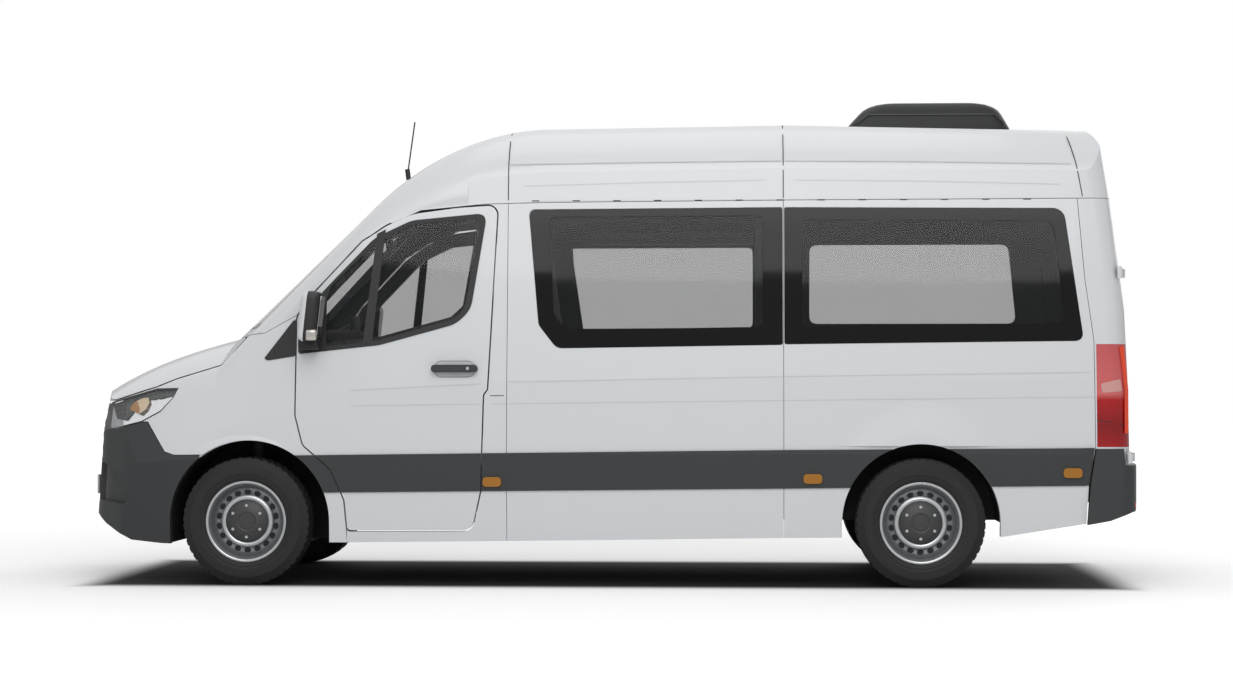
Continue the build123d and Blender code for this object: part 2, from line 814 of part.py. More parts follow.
# tow-bar bolt holes in the rear cross member and jacking pads
tow_holes = None
for side in (-1, 1):
    bore = rod((sx(4710), side * tow_bar_y, 400), (sx(4710), side * tow_bar_y, 620), tow_bar_hole)
    tow_holes = bore if tow_holes is None else tow_holes + bore
    for station in jack_stations:
        low, high = sorted((side * (frame_y - 40), side * (frame_y + 40)))
        rails = rails + span(station - 40, station + 40, low, high, frame_low - 12, frame_low + 5)
latch_post = inner & span(-815, -785, -30, 30, 570, 1300)
rails = rails - tow_holes + latch_post
save(one(rails), "chassis_frame")

# front suspension and knuckles
suspension = span(-70, 70, -frame_y, frame_y, 300, frame_low)
for side in (-1, 1):
    low, high = sorted((side * 360, side * (king_pin_y + king_pin_radius)))
    suspension = suspension + span(-king_pin_radius, king_pin_radius, low, high, 215, 240)
    low, high = sorted((side * 300, side * 375))
    suspension = suspension + span(-60, 60, low, high, 215, 310)
    low, high = sorted((side * 415, side * (king_pin_y + king_pin_radius)))
    suspension = suspension + span(-king_pin_radius, king_pin_radius, low, high, 452, 478)
    damper = rod((sx(0), side * 600, 235), (sx(0), side * 600, 900), 40)
    suspension = suspension + (damper & wheel_hole(front_arch_shift, front_arch_radius + 3.4))
save(one(suspension), "front_suspension")

knuckle = rod((sx(0), -770, tyre_radius), (sx(0), -905, tyre_radius), hub_radius)
knuckle = knuckle + rod((sx(0), -836, tyre_radius), (sx(0), -858, tyre_radius), 140)
knuckle = knuckle + rod((sx(0), -king_pin_y, 240.3), (sx(0), -king_pin_y, 451.7), king_pin_radius)
knuckle = knuckle + span(-30, 30, -838, -772, 262, 430)
save(one(knuckle), "knuckle_left")
save(mirror(one(knuckle), about=Plane.XZ), "knuckle_right")

# rear axle with its leaf springs
axle = rod((sx(wheelbase), -905, tyre_radius), (sx(wheelbase), 905, tyre_radius), hub_radius)
axle = axle + rod((sx(wheelbase), -700, tyre_radius), (sx(wheelbase), 700, tyre_radius), 58)
axle = axle + rod((sx(wheelbase), -110, tyre_radius), (sx(wheelbase), 110, tyre_radius), 150)
axle = axle + rod((sx(wheelbase - 210), 0, 372), (sx(wheelbase), 0, tyre_radius), 60)
spring_outline = [(2995, 440), (2995, 470), (3070, 470), (wheelbase, 440), (4310, 470), (4385, 470), (4385, 440), (wheelbase, 395)]
for side in (-1, 1):
    low, high = sorted((-side * 485, -side * 555))
    axle = axle + side_prism(spring_outline, 0, 0, low, high)
    low, high = sorted((side * 700, side * 850))
    axle = axle + rod((sx(wheelbase), low, tyre_radius), (sx(wheelbase), high, tyre_radius), 140)
save(one(axle), "rear_axle")

# wheels: rim with its disc, and tyre, turned about the axle
rim_profile = [
    (rim_width / 2, rim_radius),
    (rim_width / 2, 206),
    (84, 196),
    (44, 188),
    (50, 170),
    (46, 146),
    (60, 143),
    (66, 131),
    (60, 118),
    (62, 114),
    (70, 106),
    (82, 62),
    (82, 0),
    (50, 0),
    (50, hub_radius + hub_play),
    (16, hub_radius + hub_play),
    (16, 100),
    (28, 132),
    (14, 178),
    (-60, 182),
    (-rim_width / 2, 206),
    (-rim_width / 2, rim_radius),
]
tyre_profile = [
    (102, rim_radius),
    (tyre_width / 2, 282),
    (96, tyre_radius - 8),
    (70, tyre_radius),
    (-70, tyre_radius),
    (-96, tyre_radius - 8),
    (-tyre_width / 2, 282),
    (-102, rim_radius),
]
wheel_places = [("front_left", 0, -1), ("front_right", 0, 1), ("rear_left", wheelbase, -1), ("rear_right", wheelbase, 1)]


def turned(profile, station, side):
    """A wheel part turned about the axle line, its outer face towards the given side."""
    with BuildPart() as ring:
        with BuildSketch(Plane.YZ.offset(sx(station))):
            with BuildLine():
                Polyline(*[(side * (track / 2 + a), tyre_radius + r) for a, r in profile], close=True)
            make_face()
        revolve(axis=Axis((sx(station), 0, tyre_radius), (0, 1, 0)))
    return ring.part


for name, station, side in wheel_places:
    rim = turned(rim_profile, station, side)
    vents = None
    for step in range(18):
        angle = step * 20 + 10
        x = sx(station) + vent_circle * math.cos(math.radians(angle))
        z = tyre_radius + vent_circle * math.sin(math.radians(angle))
        hole = rod((x, side * 800, z), (x, side * 1000, z), vent_radius)
        vents = hole if vents is None else vents + hole
    save(one(rim - vents), f"wheel_{name}")
    save(turned(tyre_profile, station, side), f"tyre_{name}")

# roof air unit, aerial and wipers
with BuildPart() as air_unit:
    with BuildSketch(Plane.XZ) as air_side:
        with BuildLine():
            FilletPolyline(
                (sx(air_front), 2400),
                (sx(air_front), 2530),
                (sx(air_front + 195), air_top),
                (sx(air_rear - 125), air_top),
                (sx(air_rear), 2530),
                (sx(air_rear), 2400),
                radius=[1, 40, 140, 120, 40, 1],
                close=True,
            )
        make_face()
    extrude(amount=air_half, both=True)
    crown = [e for e in air_unit.edges() if abs(abs(e.center().Y) - air_half) < 1 and e.center().Z > 2450]
    fillet(crown, 45)
save(one(air_unit.part - outer), "roof_air_unit")
aerial = rod((sx(800), -300, 2270), (sx(792), -300, 2330), 14) - outer
aerial = aerial + rod((sx(795), -300, 2310), (sx(835), -300, 2600), 4)
save(one(aerial - outer), "aerial")
wiper = rod((sx(-150), -120, 1404), (sx(10), -560, 1450), 9) + rod((sx(-135), 200, 1410), (sx(-110), -60, 1420), 9)
save(one(wiper - outer), "wipers")
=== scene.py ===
"""Looks of the high-roof window van: finishes, glass borders, lamps, wheels, trim and cab fittings."""

import math

import bmesh
import bpy
from mathutils import Matrix, Vector
from mathutils.bvhtree import BVHTree


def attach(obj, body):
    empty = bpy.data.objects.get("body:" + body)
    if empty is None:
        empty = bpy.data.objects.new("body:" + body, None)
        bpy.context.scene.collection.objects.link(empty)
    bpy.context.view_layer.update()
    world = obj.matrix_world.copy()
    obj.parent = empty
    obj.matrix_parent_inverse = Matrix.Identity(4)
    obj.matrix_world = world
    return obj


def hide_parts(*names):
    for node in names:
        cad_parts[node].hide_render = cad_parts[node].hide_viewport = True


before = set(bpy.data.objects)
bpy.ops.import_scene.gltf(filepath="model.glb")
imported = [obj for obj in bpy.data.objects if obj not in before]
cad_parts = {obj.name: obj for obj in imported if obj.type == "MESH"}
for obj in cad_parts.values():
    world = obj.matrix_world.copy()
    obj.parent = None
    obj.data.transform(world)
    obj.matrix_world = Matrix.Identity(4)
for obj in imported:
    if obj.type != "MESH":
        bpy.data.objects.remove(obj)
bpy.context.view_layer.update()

# stations are measured back from the front axle, in metres
front_axle_x = -1.9525
wheelbase = 3.665
axle_z = 0.35
wheel_y = 0.86
hands = ((-1, "left"), (1, "right"))


def sx(station):
    """The x of a station."""
    return front_axle_x + station


# finishes
coat_roughness = 0.05


def shader_of(name):
    """A new material with its node tree and its main shader."""
    finish = bpy.data.materials.new(name)
    finish.use_nodes = True
    return finish, finish.node_tree, finish.node_tree.nodes["Principled BSDF"]


def ranged(tree, value, start=0.0, end=1.0, low=0.0, high=1.0, kind="LINEAR"):
    """A socket that runs from low to high while value runs from start to end."""
    node = tree.nodes.new("ShaderNodeMapRange")
    node.interpolation_type = kind
    for label, number in (("From Min", start), ("From Max", end), ("To Min", low), ("To Max", high)):
        node.inputs[label].default_value = number
    tree.links.new(value, node.inputs["Value"])
    return node.outputs["Result"]


def worked(tree, operation, first, second=None):
    """A socket with the result of a maths node fed by one or two sockets."""
    node = tree.nodes.new("ShaderNodeMath")
    node.operation = operation
    tree.links.new(first, node.inputs[0])
    if second is not None:
        tree.links.new(second, node.inputs[1])
    return node.outputs[0]


def object_point(tree):
    """A socket with the place in object space."""
    return tree.nodes.new("ShaderNodeTexCoord").outputs["Object"]


def grain(tree, shader, scale, low, high, relief=0.0):
    """Roughness that varies with a fine noise in object space, and a light relief where asked."""
    noise = tree.nodes.new("ShaderNodeTexNoise")
    noise.inputs["Scale"].default_value = scale
    noise.inputs["Detail"].default_value = 3.0
    tree.links.new(object_point(tree), noise.inputs["Vector"])
    tree.links.new(ranged(tree, noise.outputs["Fac"], low=low, high=high), shader.inputs["Roughness"])
    if relief:
        bump = tree.nodes.new("ShaderNodeBump")
        bump.inputs["Strength"].default_value = relief
        bump.inputs["Distance"].default_value = 0.001
        tree.links.new(noise.outputs["Fac"], bump.inputs["Height"])
        tree.links.new(bump.outputs["Normal"], shader.inputs["Normal"])


def solid(name, color, low, high, scale, metallic=0.0, relief=0.0, coat=0.0, gloss=0.5):
    """A solid finish: colour, least and most roughness, grain scale, metal, relief, clear coat and mirror level."""
    finish, tree, shader = shader_of(name)
    shader.inputs["Base Color"].default_value = (*color, 1.0)
    shader.inputs["Metallic"].default_value = metallic
    shader.inputs["Coat Weight"].default_value = coat
    shader.inputs["Coat Roughness"].default_value = coat_roughness
    shader.inputs["Specular IOR Level"].default_value = gloss
    grain(tree, shader, scale, low, high, relief)
    return finish


def see_through(name, color, alpha):
    """Clear or tinted glass, as a thin veil of colour."""
    finish, tree, shader = shader_of(name)
    shader.inputs["Base Color"].default_value = (*color, 1.0)
    shader.inputs["Alpha"].default_value = alpha
    grain(tree, shader, 6.0, 0.02, 0.05)
    return finish


def banded(name, stops, low_z, high_z):
    """A lens whose colour changes with height."""
    finish, tree, shader = shader_of(name)
    split = tree.nodes.new("ShaderNodeSeparateXYZ")
    ramp = tree.nodes.new("ShaderNodeValToRGB")
    tree.links.new(object_point(tree), split.inputs["Vector"])
    tree.links.new(ranged(tree, split.outputs["Z"], low_z, high_z), ramp.inputs["Fac"])
    tree.links.new(ramp.outputs["Color"], shader.inputs["Base Color"])
    ramp.color_ramp.elements[0].position = stops[0][0]
    ramp.color_ramp.elements[0].color = (*stops[0][1], 1.0)
    ramp.color_ramp.elements[1].position = stops[-1][0]
    ramp.color_ramp.elements[1].color = (*stops[-1][1], 1.0)
    for position, color in stops[1:-1]:
        ramp.color_ramp.elements.new(position).color = (*color, 1.0)
    shader.inputs["Coat Weight"].default_value = 0.4
    shader.inputs["Coat Roughness"].default_value = coat_roughness
    grain(tree, shader, 30.0, 0.14, 0.24)
    return finish


paint = solid("white_paint", (0.72, 0.74, 0.76), 0.28, 0.36, 3.0, 0.0, 0.0, 0.35)
charcoal = solid("charcoal_moulding", (0.034, 0.036, 0.038), 0.50, 0.62, 900.0, 0.0, 0.12)
frit_black = solid("glass_border_black", (0.010, 0.010, 0.011), 0.02, 0.05, 6.0, gloss=0.22)
trim_black = solid("trim_black", (0.013, 0.013, 0.014), 0.45, 0.6, 300.0, 0.0, 0.06)
seam_dark = solid("seam_shadow", (0.05, 0.052, 0.055), 0.8, 0.9, 60.0)
liner_black = solid("liner_black", (0.010, 0.010, 0.011), 0.7, 0.85, 200.0, 0.0, 0.1)
cab_black = solid("cab_moulding", (0.035, 0.036, 0.038), 0.55, 0.7, 700.0, 0.0, 0.1)
lining_grey = solid("lining_grey", (0.065, 0.067, 0.07), 0.7, 0.85, 300.0, 0.0, 0.1)
wheel_grey = solid("wheel_grey", (0.20, 0.21, 0.22), 0.34, 0.46, 60.0, 0.55)
wheel_bright = solid("wheel_bright", (0.55, 0.56, 0.57), 0.24, 0.34, 80.0, 0.6)
cover_grey = solid("wheel_cover_grey", (0.045, 0.046, 0.048), 0.42, 0.55, 200.0, 0.0, 0.08)
nut_steel = solid("nut_steel", (0.60, 0.61, 0.62), 0.25, 0.4, 80.0, 0.9)
rubber = solid("tyre_rubber", (0.011, 0.011, 0.012), 0.62, 0.8, 150.0, 0.0, 0.12)
unit_black = solid("air_unit_black", (0.020, 0.021, 0.022), 0.44, 0.54, 500.0, 0.0, 0.06, gloss=0.28)
chassis_black = solid("chassis_black", (0.02, 0.02, 0.022), 0.5, 0.7, 30.0)
cast = solid("cast_metal", (0.16, 0.16, 0.17), 0.5, 0.7, 120.0, 0.7, 0.2)
dull_steel = solid("dull_steel", (0.32, 0.31, 0.30), 0.4, 0.6, 40.0, 0.9)
cloth = solid("seat_cloth", (0.035, 0.038, 0.046), 0.85, 0.95, 600.0, 0.0, 0.5)
amber = solid("amber_lens", (0.40, 0.16, 0.010), 0.16, 0.24, 20.0, 0.0, 0.0, 0.3)
red_bright = solid("red_strip", (0.95, 0.075, 0.02), 0.14, 0.22, 20.0, 0.0, 0.0, 0.4)
lamp_dark = solid("lamp_mask", (0.02, 0.021, 0.022), 0.22, 0.34, 60.0)
chrome = solid("lamp_chrome", (0.80, 0.81, 0.83), 0.08, 0.16, 30.0, 0.95)
pearl = solid("lamp_pearl", (0.72, 0.56, 0.36), 0.18, 0.28, 30.0, 0.35)
mirror_glass = solid("mirror_silver", (0.85, 0.86, 0.87), 0.02, 0.05, 10.0, 1.0)
# a darker copy of the white paint, for painted shade along the creases
painted_crease_shade = solid("painted_crease_shade", (0.60, 0.62, 0.645), 0.28, 0.36, 3.0, 0.0, 0.0, 0.2)
lens_pale = solid("lens_pale", (0.70, 0.36, 0.33), 0.14, 0.22, 30.0, 0.0, 0.0, 0.4)
indicator = solid("indicator_clear", (0.60, 0.57, 0.53), 0.10, 0.20, 30.0, 0.4, 0.0, 0.4)
rail_grey = solid("rail_grey", (0.13, 0.135, 0.14), 0.5, 0.65, 200.0)
plate_white = solid("plate_blank", (0.70, 0.70, 0.68), 0.35, 0.45, 30.0)
# the rear lenses are deep red, and their lighter upper band is painted reflection
red_lens = banded(
    "rear_lens",
    [(0.0, (0.40, 0.006, 0.008)), (0.20, (0.26, 0.004, 0.006)), (0.46, (0.46, 0.008, 0.010)),
     (0.52, (0.70, 0.16, 0.15)), (0.60, (0.68, 0.14, 0.14)), (1.0, (0.60, 0.10, 0.11))],
    0.762, 1.313,
)
window_tint = see_through("window_tint", (0.028, 0.030, 0.031), 0.25)
lens_clear = see_through("lamp_lens", (0.60, 0.61, 0.62), 0.16)

# which finish each CAD node takes
node_finish = {
    paint: [
        "cab_door_left", "cab_door_right", "bonnet", "windscreen_frame", "roof", "front_wings", "door_posts",
        "side_panel_left", "sliding_door", "quarter_panels", "rear_posts", "rear_door_left", "rear_door_right",
    ],
    charcoal: [
        "front_bumper", "grille", "rear_bumper", "side_strips", "cab_door_fittings_left",
        "cab_door_fittings_right", "door_mirror_left", "door_mirror_right",
    ],
    unit_black: ["roof_air_unit"],
    trim_black: ["aerial", "wipers", "bulkhead"],
    liner_black: ["arch_liners", "fuel_tank"],
    cab_black: ["dashboard", "steering_wheel"],
    window_tint: [
        "windscreen", "cab_door_glass_left", "cab_door_glass_right", "side_windows", "rear_door_glass_left",
        "rear_door_glass_right",
    ],
    lens_clear: ["headlamps"],
    red_lens: ["rear_lamps"],
    amber: ["side_markers"],
    wheel_grey: ["wheel_front_left", "wheel_front_right", "wheel_rear_left", "wheel_rear_right"],
    rubber: ["tyre_front_left", "tyre_front_right", "tyre_rear_left", "tyre_rear_right"],
    chassis_black: ["chassis_frame", "front_suspension", "rear_axle", "prop_shaft"],
    lining_grey: ["floor_pan"],
    cast: ["engine", "knuckle_left", "knuckle_right"],
    dull_steel: ["exhaust"],
    cloth: ["cab_seats"],
}
for finish, names in node_finish.items():
    for name in names:
        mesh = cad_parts[name].data
        mesh.materials.clear()
        mesh.materials.append(finish)

# the faces of body panels that look inwards are lined, and the reveals of the windows are painted black as shade
reveals = [
    [(1.570, 1.310), (1.570, 2.045), (2.910, 2.050), (2.910, 1.310)],
    [(2.950, 1.320), (2.950, 2.050), (4.430, 2.045), (4.520, 1.340)],
    [(0.270, 1.262), (0.270, 1.468), (0.440, 1.650), (0.690, 1.910), (0.890, 2.010), (1.335, 2.052), (1.250, 1.500),
     (1.158, 1.408), (0.740, 1.292)],
]


def within(place, outline):
    """Whether a point lies inside a side-view outline."""
    inside = False
    x, z = place.x - front_axle_x, place.z
    for (x0, z0), (x1, z1) in zip(outline, outline[1:] + outline[:1]):
        if (z0 > z) != (z1 > z) and x < x0 + (x1 - x0) * (z - z0) / (z1 - z0):
            inside = not inside
    return inside


painted, lined, reveal_shade_black = range(3)
inside_z = 1.35
looks_in = 0.45
looks_sideways = 0.6
for name in node_finish[paint]:
    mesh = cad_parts[name].data
    mesh.materials.append(lining_grey)
    mesh.materials.append(trim_black)
    for face in mesh.polygons:
        target = Vector((min(max(face.center.x, sx(0.4)), sx(4.0)), 0.0, inside_z))
        if face.normal.dot((target - face.center).normalized()) > looks_in:
            face.material_index = lined
        elif abs(face.normal.y) < looks_sideways and any(within(face.center, zone) for zone in reveals):
            face.material_index = reveal_shade_black


# making and placing pieces


def keep(shape, name, finish, body, sharp=38.0, stands_for=()):
    """Turn a worked shape into a piece that rides a body."""
    bmesh.ops.recalc_face_normals(shape, faces=shape.faces[:])
    mesh = bpy.data.meshes.new(name)
    shape.to_mesh(mesh)
    shape.free()
    mesh.materials.append(finish)
    mesh.shade_smooth()
    mesh.set_sharp_from_angle(angle=math.radians(sharp))
    piece = bpy.data.objects.new(name, mesh)
    bpy.context.scene.collection.objects.link(piece)
    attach(piece, body)
    if stands_for:
        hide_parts(*stands_for)
    return piece


def skin_of(*nodes):
    """A search tree over the faces of some CAD nodes."""
    verts = []
    faces = []
    for node in nodes:
        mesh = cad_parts[node].data
        start = len(verts)
        verts += [v.co.copy() for v in mesh.vertices]
        faces += [[start + i for i in p.vertices] for p in mesh.polygons]
    return BVHTree.FromPolygons(verts, faces)


fixed_skin = ["front_wings", "door_posts", "quarter_panels", "side_windows", "rear_posts", "roof", "windscreen_frame"]
side_skin = {
    -1: skin_of("cab_door_left", "cab_door_glass_left", "side_panel_left", *fixed_skin),
    1: skin_of("cab_door_right", "cab_door_glass_right", "sliding_door", *fixed_skin),
}


bridge = 0.012


def side_depth(tree, side, x, z):
    """How far out the body side is at a point of the side view, gaps bridged."""
    reach = []
    for dx, dz in ((0, 0), (bridge, 0), (-bridge, 0), (0, bridge), (0, -bridge)):
        hit = tree.ray_cast(Vector((x + dx, side * 3.0, z + dz)), Vector((0, -side, 0)))[0]
        if hit is not None:
            reach.append(abs(hit.y))
    return max(reach) if reach else None


# what shows of the panels behind the edges of the glass is painted black as shade
behind_glass = 0.003
for name in node_finish[paint]:
    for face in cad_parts[name].data.polygons:
        spot = face.center
        if face.material_index == painted and any(within(spot, zone) for zone in reveals):
            side = -1 if spot.y < 0 else 1
            depth = side_depth(side_skin[side], side, spot.x, spot.z)
            if depth is not None and abs(spot.y) < depth - behind_glass:
                face.material_index = reveal_shade_black


def drape(shape, side, proud, tree=None):
    """Lay a flat side-view shape on the body side, standing proud of it."""
    for vert in shape.verts:
        depth = side_depth(tree or side_skin[side], side, vert.co.x, vert.co.z)
        vert.co.y = side * ((0.95 if depth is None else depth) + proud)


def flatten(shape, side, tree, proud):
    """Lay a flat side-view shape on the plane that best rests on a nearly flat pane."""
    xs = [v.co.x for v in shape.verts]
    zs = [v.co.z for v in shape.verts]
    spots = [(x, z) for x in (min(xs) + 0.12, max(xs) - 0.14) for z in (min(zs) + 0.05, max(zs) - 0.05)]
    (x0, z0), (_, z1), (x1, _), _ = spots
    d00, d01, d10, d11 = [side_depth(tree, side, *spot) for spot in spots]
    over_x = (d10 + d11 - d00 - d01) / 2 / (x1 - x0)
    over_z = (d01 + d11 - d00 - d10) / 2 / (z1 - z0)
    base = (d00 + d01 + d10 + d11) / 4 - over_x * (x0 + x1) / 2 - over_z * (z0 + z1) / 2
    lift = proud
    for vert in shape.verts:
        depth = side_depth(tree, side, vert.co.x, vert.co.z)
        if depth is not None:
            lift = max(lift, depth - base - over_x * vert.co.x - over_z * vert.co.z + proud)
    for vert in shape.verts:
        vert.co.y = side * (base + over_x * vert.co.x + over_z * vert.co.z + min(lift, 0.006))


def thicken(shape, move):
    """Give an open sheet a back, moved by a vector."""
    sheet = bmesh.ops.extrude_face_region(shape, geom=shape.faces[:], use_keep_orig=True)
    verts = [g for g in sheet["geom"] if isinstance(g, bmesh.types.BMVert)]
    bmesh.ops.translate(shape, verts=verts, vec=move)


def rounded(points, radius, steps=6):
    """The points of a closed outline with its corners rounded."""
    out = []
    count = len(points)
    radii = radius if isinstance(radius, (list, tuple)) else [radius] * count
    for i, point in enumerate(points):
        here = Vector(point)
        back = Vector(points[i - 1]) - here
        on = Vector(points[(i + 1) % count]) - here
        half = max(back.angle(on) / 2, 0.05)
        cut = min(radii[i] / math.tan(half), back.length * 0.48, on.length * 0.48)
        start = here + back.normalized() * cut
        end = here + on.normalized() * cut
        for k in range(steps + 1):
            t = k / steps
            out.append(start.lerp(here, t).lerp(here.lerp(end, t), t))
    return out


def along(points, step):
    """Points of a path no further apart than step."""
    out = [Vector(points[0])]
    for start, end in zip(points, points[1:]):
        start, end = Vector(start), Vector(end)
        count = max(1, math.ceil((end - start).length / step))
        out += [start.lerp(end, k / count) for k in range(1, count + 1)]
    return out


def loop_of(shape, outline):
    """A closed loop of edges from side-view points of stations and heights."""
    verts = [shape.verts.new((sx(p[0]), 0.0, p[1])) for p in outline]
    return [shape.edges.new((verts[i - 1], verts[i])) for i in range(len(verts))]


def ring_sheet(outer, inner):
    """A flat ring between two side-view outlines with as many points."""
    shape = bmesh.new()
    edges = loop_of(shape, outer) + loop_of(shape, inner)
    bmesh.ops.bridge_loops(shape, edges=edges)
    return shape


def cut_up(shape, step):
    """Cut a flat side-view sheet at even stations, so that it can follow a curved side."""
    low = min(v.co.x for v in shape.verts)
    high = max(v.co.x for v in shape.verts)
    for k in range(1, int((high - low) / step) + 1):
        geom = shape.verts[:] + shape.edges[:] + shape.faces[:]
        bmesh.ops.bisect_plane(shape, geom=geom, plane_co=(low + k * step, 0, 0), plane_no=(1, 0, 0))


def flat_sheet(outline, step):
    """A flat side-view sheet inside one outline."""
    shape = bmesh.new()
    edges = loop_of(shape, outline)
    bmesh.ops.triangle_fill(shape, edges=edges, use_beauty=True)
    cut_up(shape, step)
    return shape


def ribbon(path, width):
    """A flat side-view strip of even width along a path of stations and heights."""
    shape = bmesh.new()
    points = along(path, 0.08)
    verts = [shape.verts.new((sx(p[0]), 0.0, p[1])) for p in points]
    edges = [shape.edges.new(pair) for pair in zip(verts, verts[1:])]
    made = bmesh.ops.extrude_edge_only(shape, edges=edges)
    moved = [g for g in made["geom"] if isinstance(g, bmesh.types.BMVert)]
    for row, edge in ((moved, width / 2), (verts, -width / 2)):
        for vert in row:
            spot = Vector((vert.co.x - front_axle_x, vert.co.z))
            k = min(range(len(points)), key=lambda i: (points[i] - spot).length_squared)
            way = (points[min(k + 1, len(points) - 1)] - points[max(k - 1, 0)]).normalized()
            vert.co.x -= way[1] * edge
            vert.co.z += way[0] * edge
    return shape


def lathe(profile, side, station, steps):
    """A profile of (outward distance, radius) pairs turned about a wheel's axle."""
    shape = bmesh.new()
    verts = [shape.verts.new((sx(station), side * (wheel_y + a), axle_z + r)) for a, r in profile]
    edges = [shape.edges.new(pair) for pair in zip(verts, verts[1:])]
    bmesh.ops.spin(
        shape, geom=verts + edges, cent=(sx(station), 0, axle_z), axis=(0, 1, 0), angle=2 * math.pi, steps=steps,
        use_merge=True,
    )
    bmesh.ops.remove_doubles(shape, verts=shape.verts[:], dist=1e-5)
    return shape


def block(low, high, bevel, segments=2):
    """A box between two corners with its edges rounded."""
    shape = bmesh.new()
    bmesh.ops.create_cube(shape, size=1.0)
    size = [b - a for a, b in zip(low, high)]
    bmesh.ops.scale(shape, verts=shape.verts[:], vec=size)
    bmesh.ops.translate(shape, verts=shape.verts[:], vec=[(a + b) / 2 for a, b in zip(low, high)])
    bmesh.ops.bevel(
        shape, geom=shape.edges[:], offset=bevel, affect="EDGES", segments=segments, profile=0.5, material=-1
    )
    return shape


def tube(points, radius, sides=10):
    """A round bar through some points."""
    shape = bmesh.new()
    points = [Vector(p) for p in points]
    way = (points[1] - points[0]).normalized()
    turn = Vector((0, 0, 1)).rotation_difference(way).to_matrix().to_4x4()
    bmesh.ops.create_circle(
        shape, segments=sides, radius=radius, cap_ends=True, matrix=Matrix.Translation(points[0]) @ turn
    )
    face = shape.faces[:]
    for here, there in zip(points, points[1:]):
        made = bmesh.ops.extrude_face_region(shape, geom=face, use_keep_orig=(here == points[0]))
        verts = [g for g in made["geom"] if isinstance(g, bmesh.types.BMVert)]
        face = [g for g in made["geom"] if isinstance(g, bmesh.types.BMFace)]
        bmesh.ops.translate(shape, verts=verts, vec=there - here)
    return shape


def join(*shapes):
    """Several shapes in one."""
    whole = bmesh.new()
    for shape in shapes:
        mesh = bpy.data.meshes.new("part")
        shape.to_mesh(mesh)
        shape.free()
        whole.from_mesh(mesh)
        bpy.data.meshes.remove(mesh)
    return whole


def plate(points, move):
    """A flat plate from an outline in space, thickened along a vector."""
    shape = bmesh.new()
    shape.faces.new([shape.verts.new(p) for p in points])
    thicken(shape, move)
    return shape


def grid(centre, across, up, width, height, step):
    """A flat sheet of small squares about a point, from its two directions and sizes."""
    shape = bmesh.new()
    across, up = Vector(across), Vector(up)
    turn = Matrix((across, up, across.cross(up))).transposed().to_4x4()
    bmesh.ops.create_grid(
        shape, x_segments=max(1, round(width / step)), y_segments=max(1, round(height / step)), size=0.5,
        matrix=Matrix.Translation(centre) @ turn @ Matrix.Diagonal((width, height, 1.0, 1.0)),
    )
    return shape


def upright(x, y, z, width, height, step):
    """A flat sheet of small squares that stands across the van."""
    return grid((x, y, z), (0, 1, 0), (0, 0, 1), width, height, step)


def lay(shape, way, proud, tree):
    """Move the points of a sheet along a direction onto a surface, standing proud of it."""
    way = Vector(way)
    for vert in shape.verts:
        hit = tree.ray_cast(vert.co - way * 5.0, way)[0]
        if hit is not None:
            vert.co = hit - way * proud


def trim(shape, side, proud, back, name, finish, body, tree=None):
    """Lay a flat side-view shape on the body side, give it a back and keep it."""
    drape(shape, side, proud, tree)
    thicken(shape, (0, -side * back, 0))
    return keep(shape, name, finish, body)


def fit(shape, way, proud, back, name, finish, body, tree):
    """Lay a sheet on the body along a direction, give it a back and keep it."""
    lay(shape, way, proud, tree)
    thicken(shape, Vector(way) * back)
    return keep(shape, name, finish, body)


def wrap(shape, rows):
    """Bridge rows of points, each a closed loop, one after the other, and fill the last."""
    loops = [[shape.edges.new((row[i - 1], row[i])) for i in range(len(row))] for row in rows]
    for loop, further in zip(loops, loops[1:]):
        bmesh.ops.bridge_loops(shape, edges=loop + further)
    shape.faces.new(rows[-1])


def flare(station, radius, outline, side, lift, low):
    """A raised lip over a wheel arch, from the arch edge out to a line in the side view."""
    shape = bmesh.new()
    bmesh.ops.create_grid(shape, x_segments=56, y_segments=9, size=0.5)
    path = along(outline, 0.004)
    centre = Vector((station, 0.352))
    for vert in shape.verts:
        row = round((vert.co.y + 0.5) * 9)
        end = path[round((vert.co.x + 0.5) * (len(path) - 1))]
        start = centre + (end - centre).normalized() * radius
        t = max(0, row - 1) / 8
        place = start.lerp(end, t)
        depth = side_depth(side_skin[side], side, sx(place[0]), place[1]) or 0.985
        rise = -0.003 if row == 0 else lift * (1 - t * t * (3 - 2 * t)) + 0.0004
        vert.co = (sx(place[0]), side * (depth + rise), place[1])
    geom = shape.verts[:] + shape.edges[:] + shape.faces[:]
    bmesh.ops.bisect_plane(shape, geom=geom, plane_co=(0, 0, low), plane_no=(0, 0, -1), clear_outer=True)
    return shape


pad_voxel = 0.006
pad_pressure = 4.0
pad_frames = 20


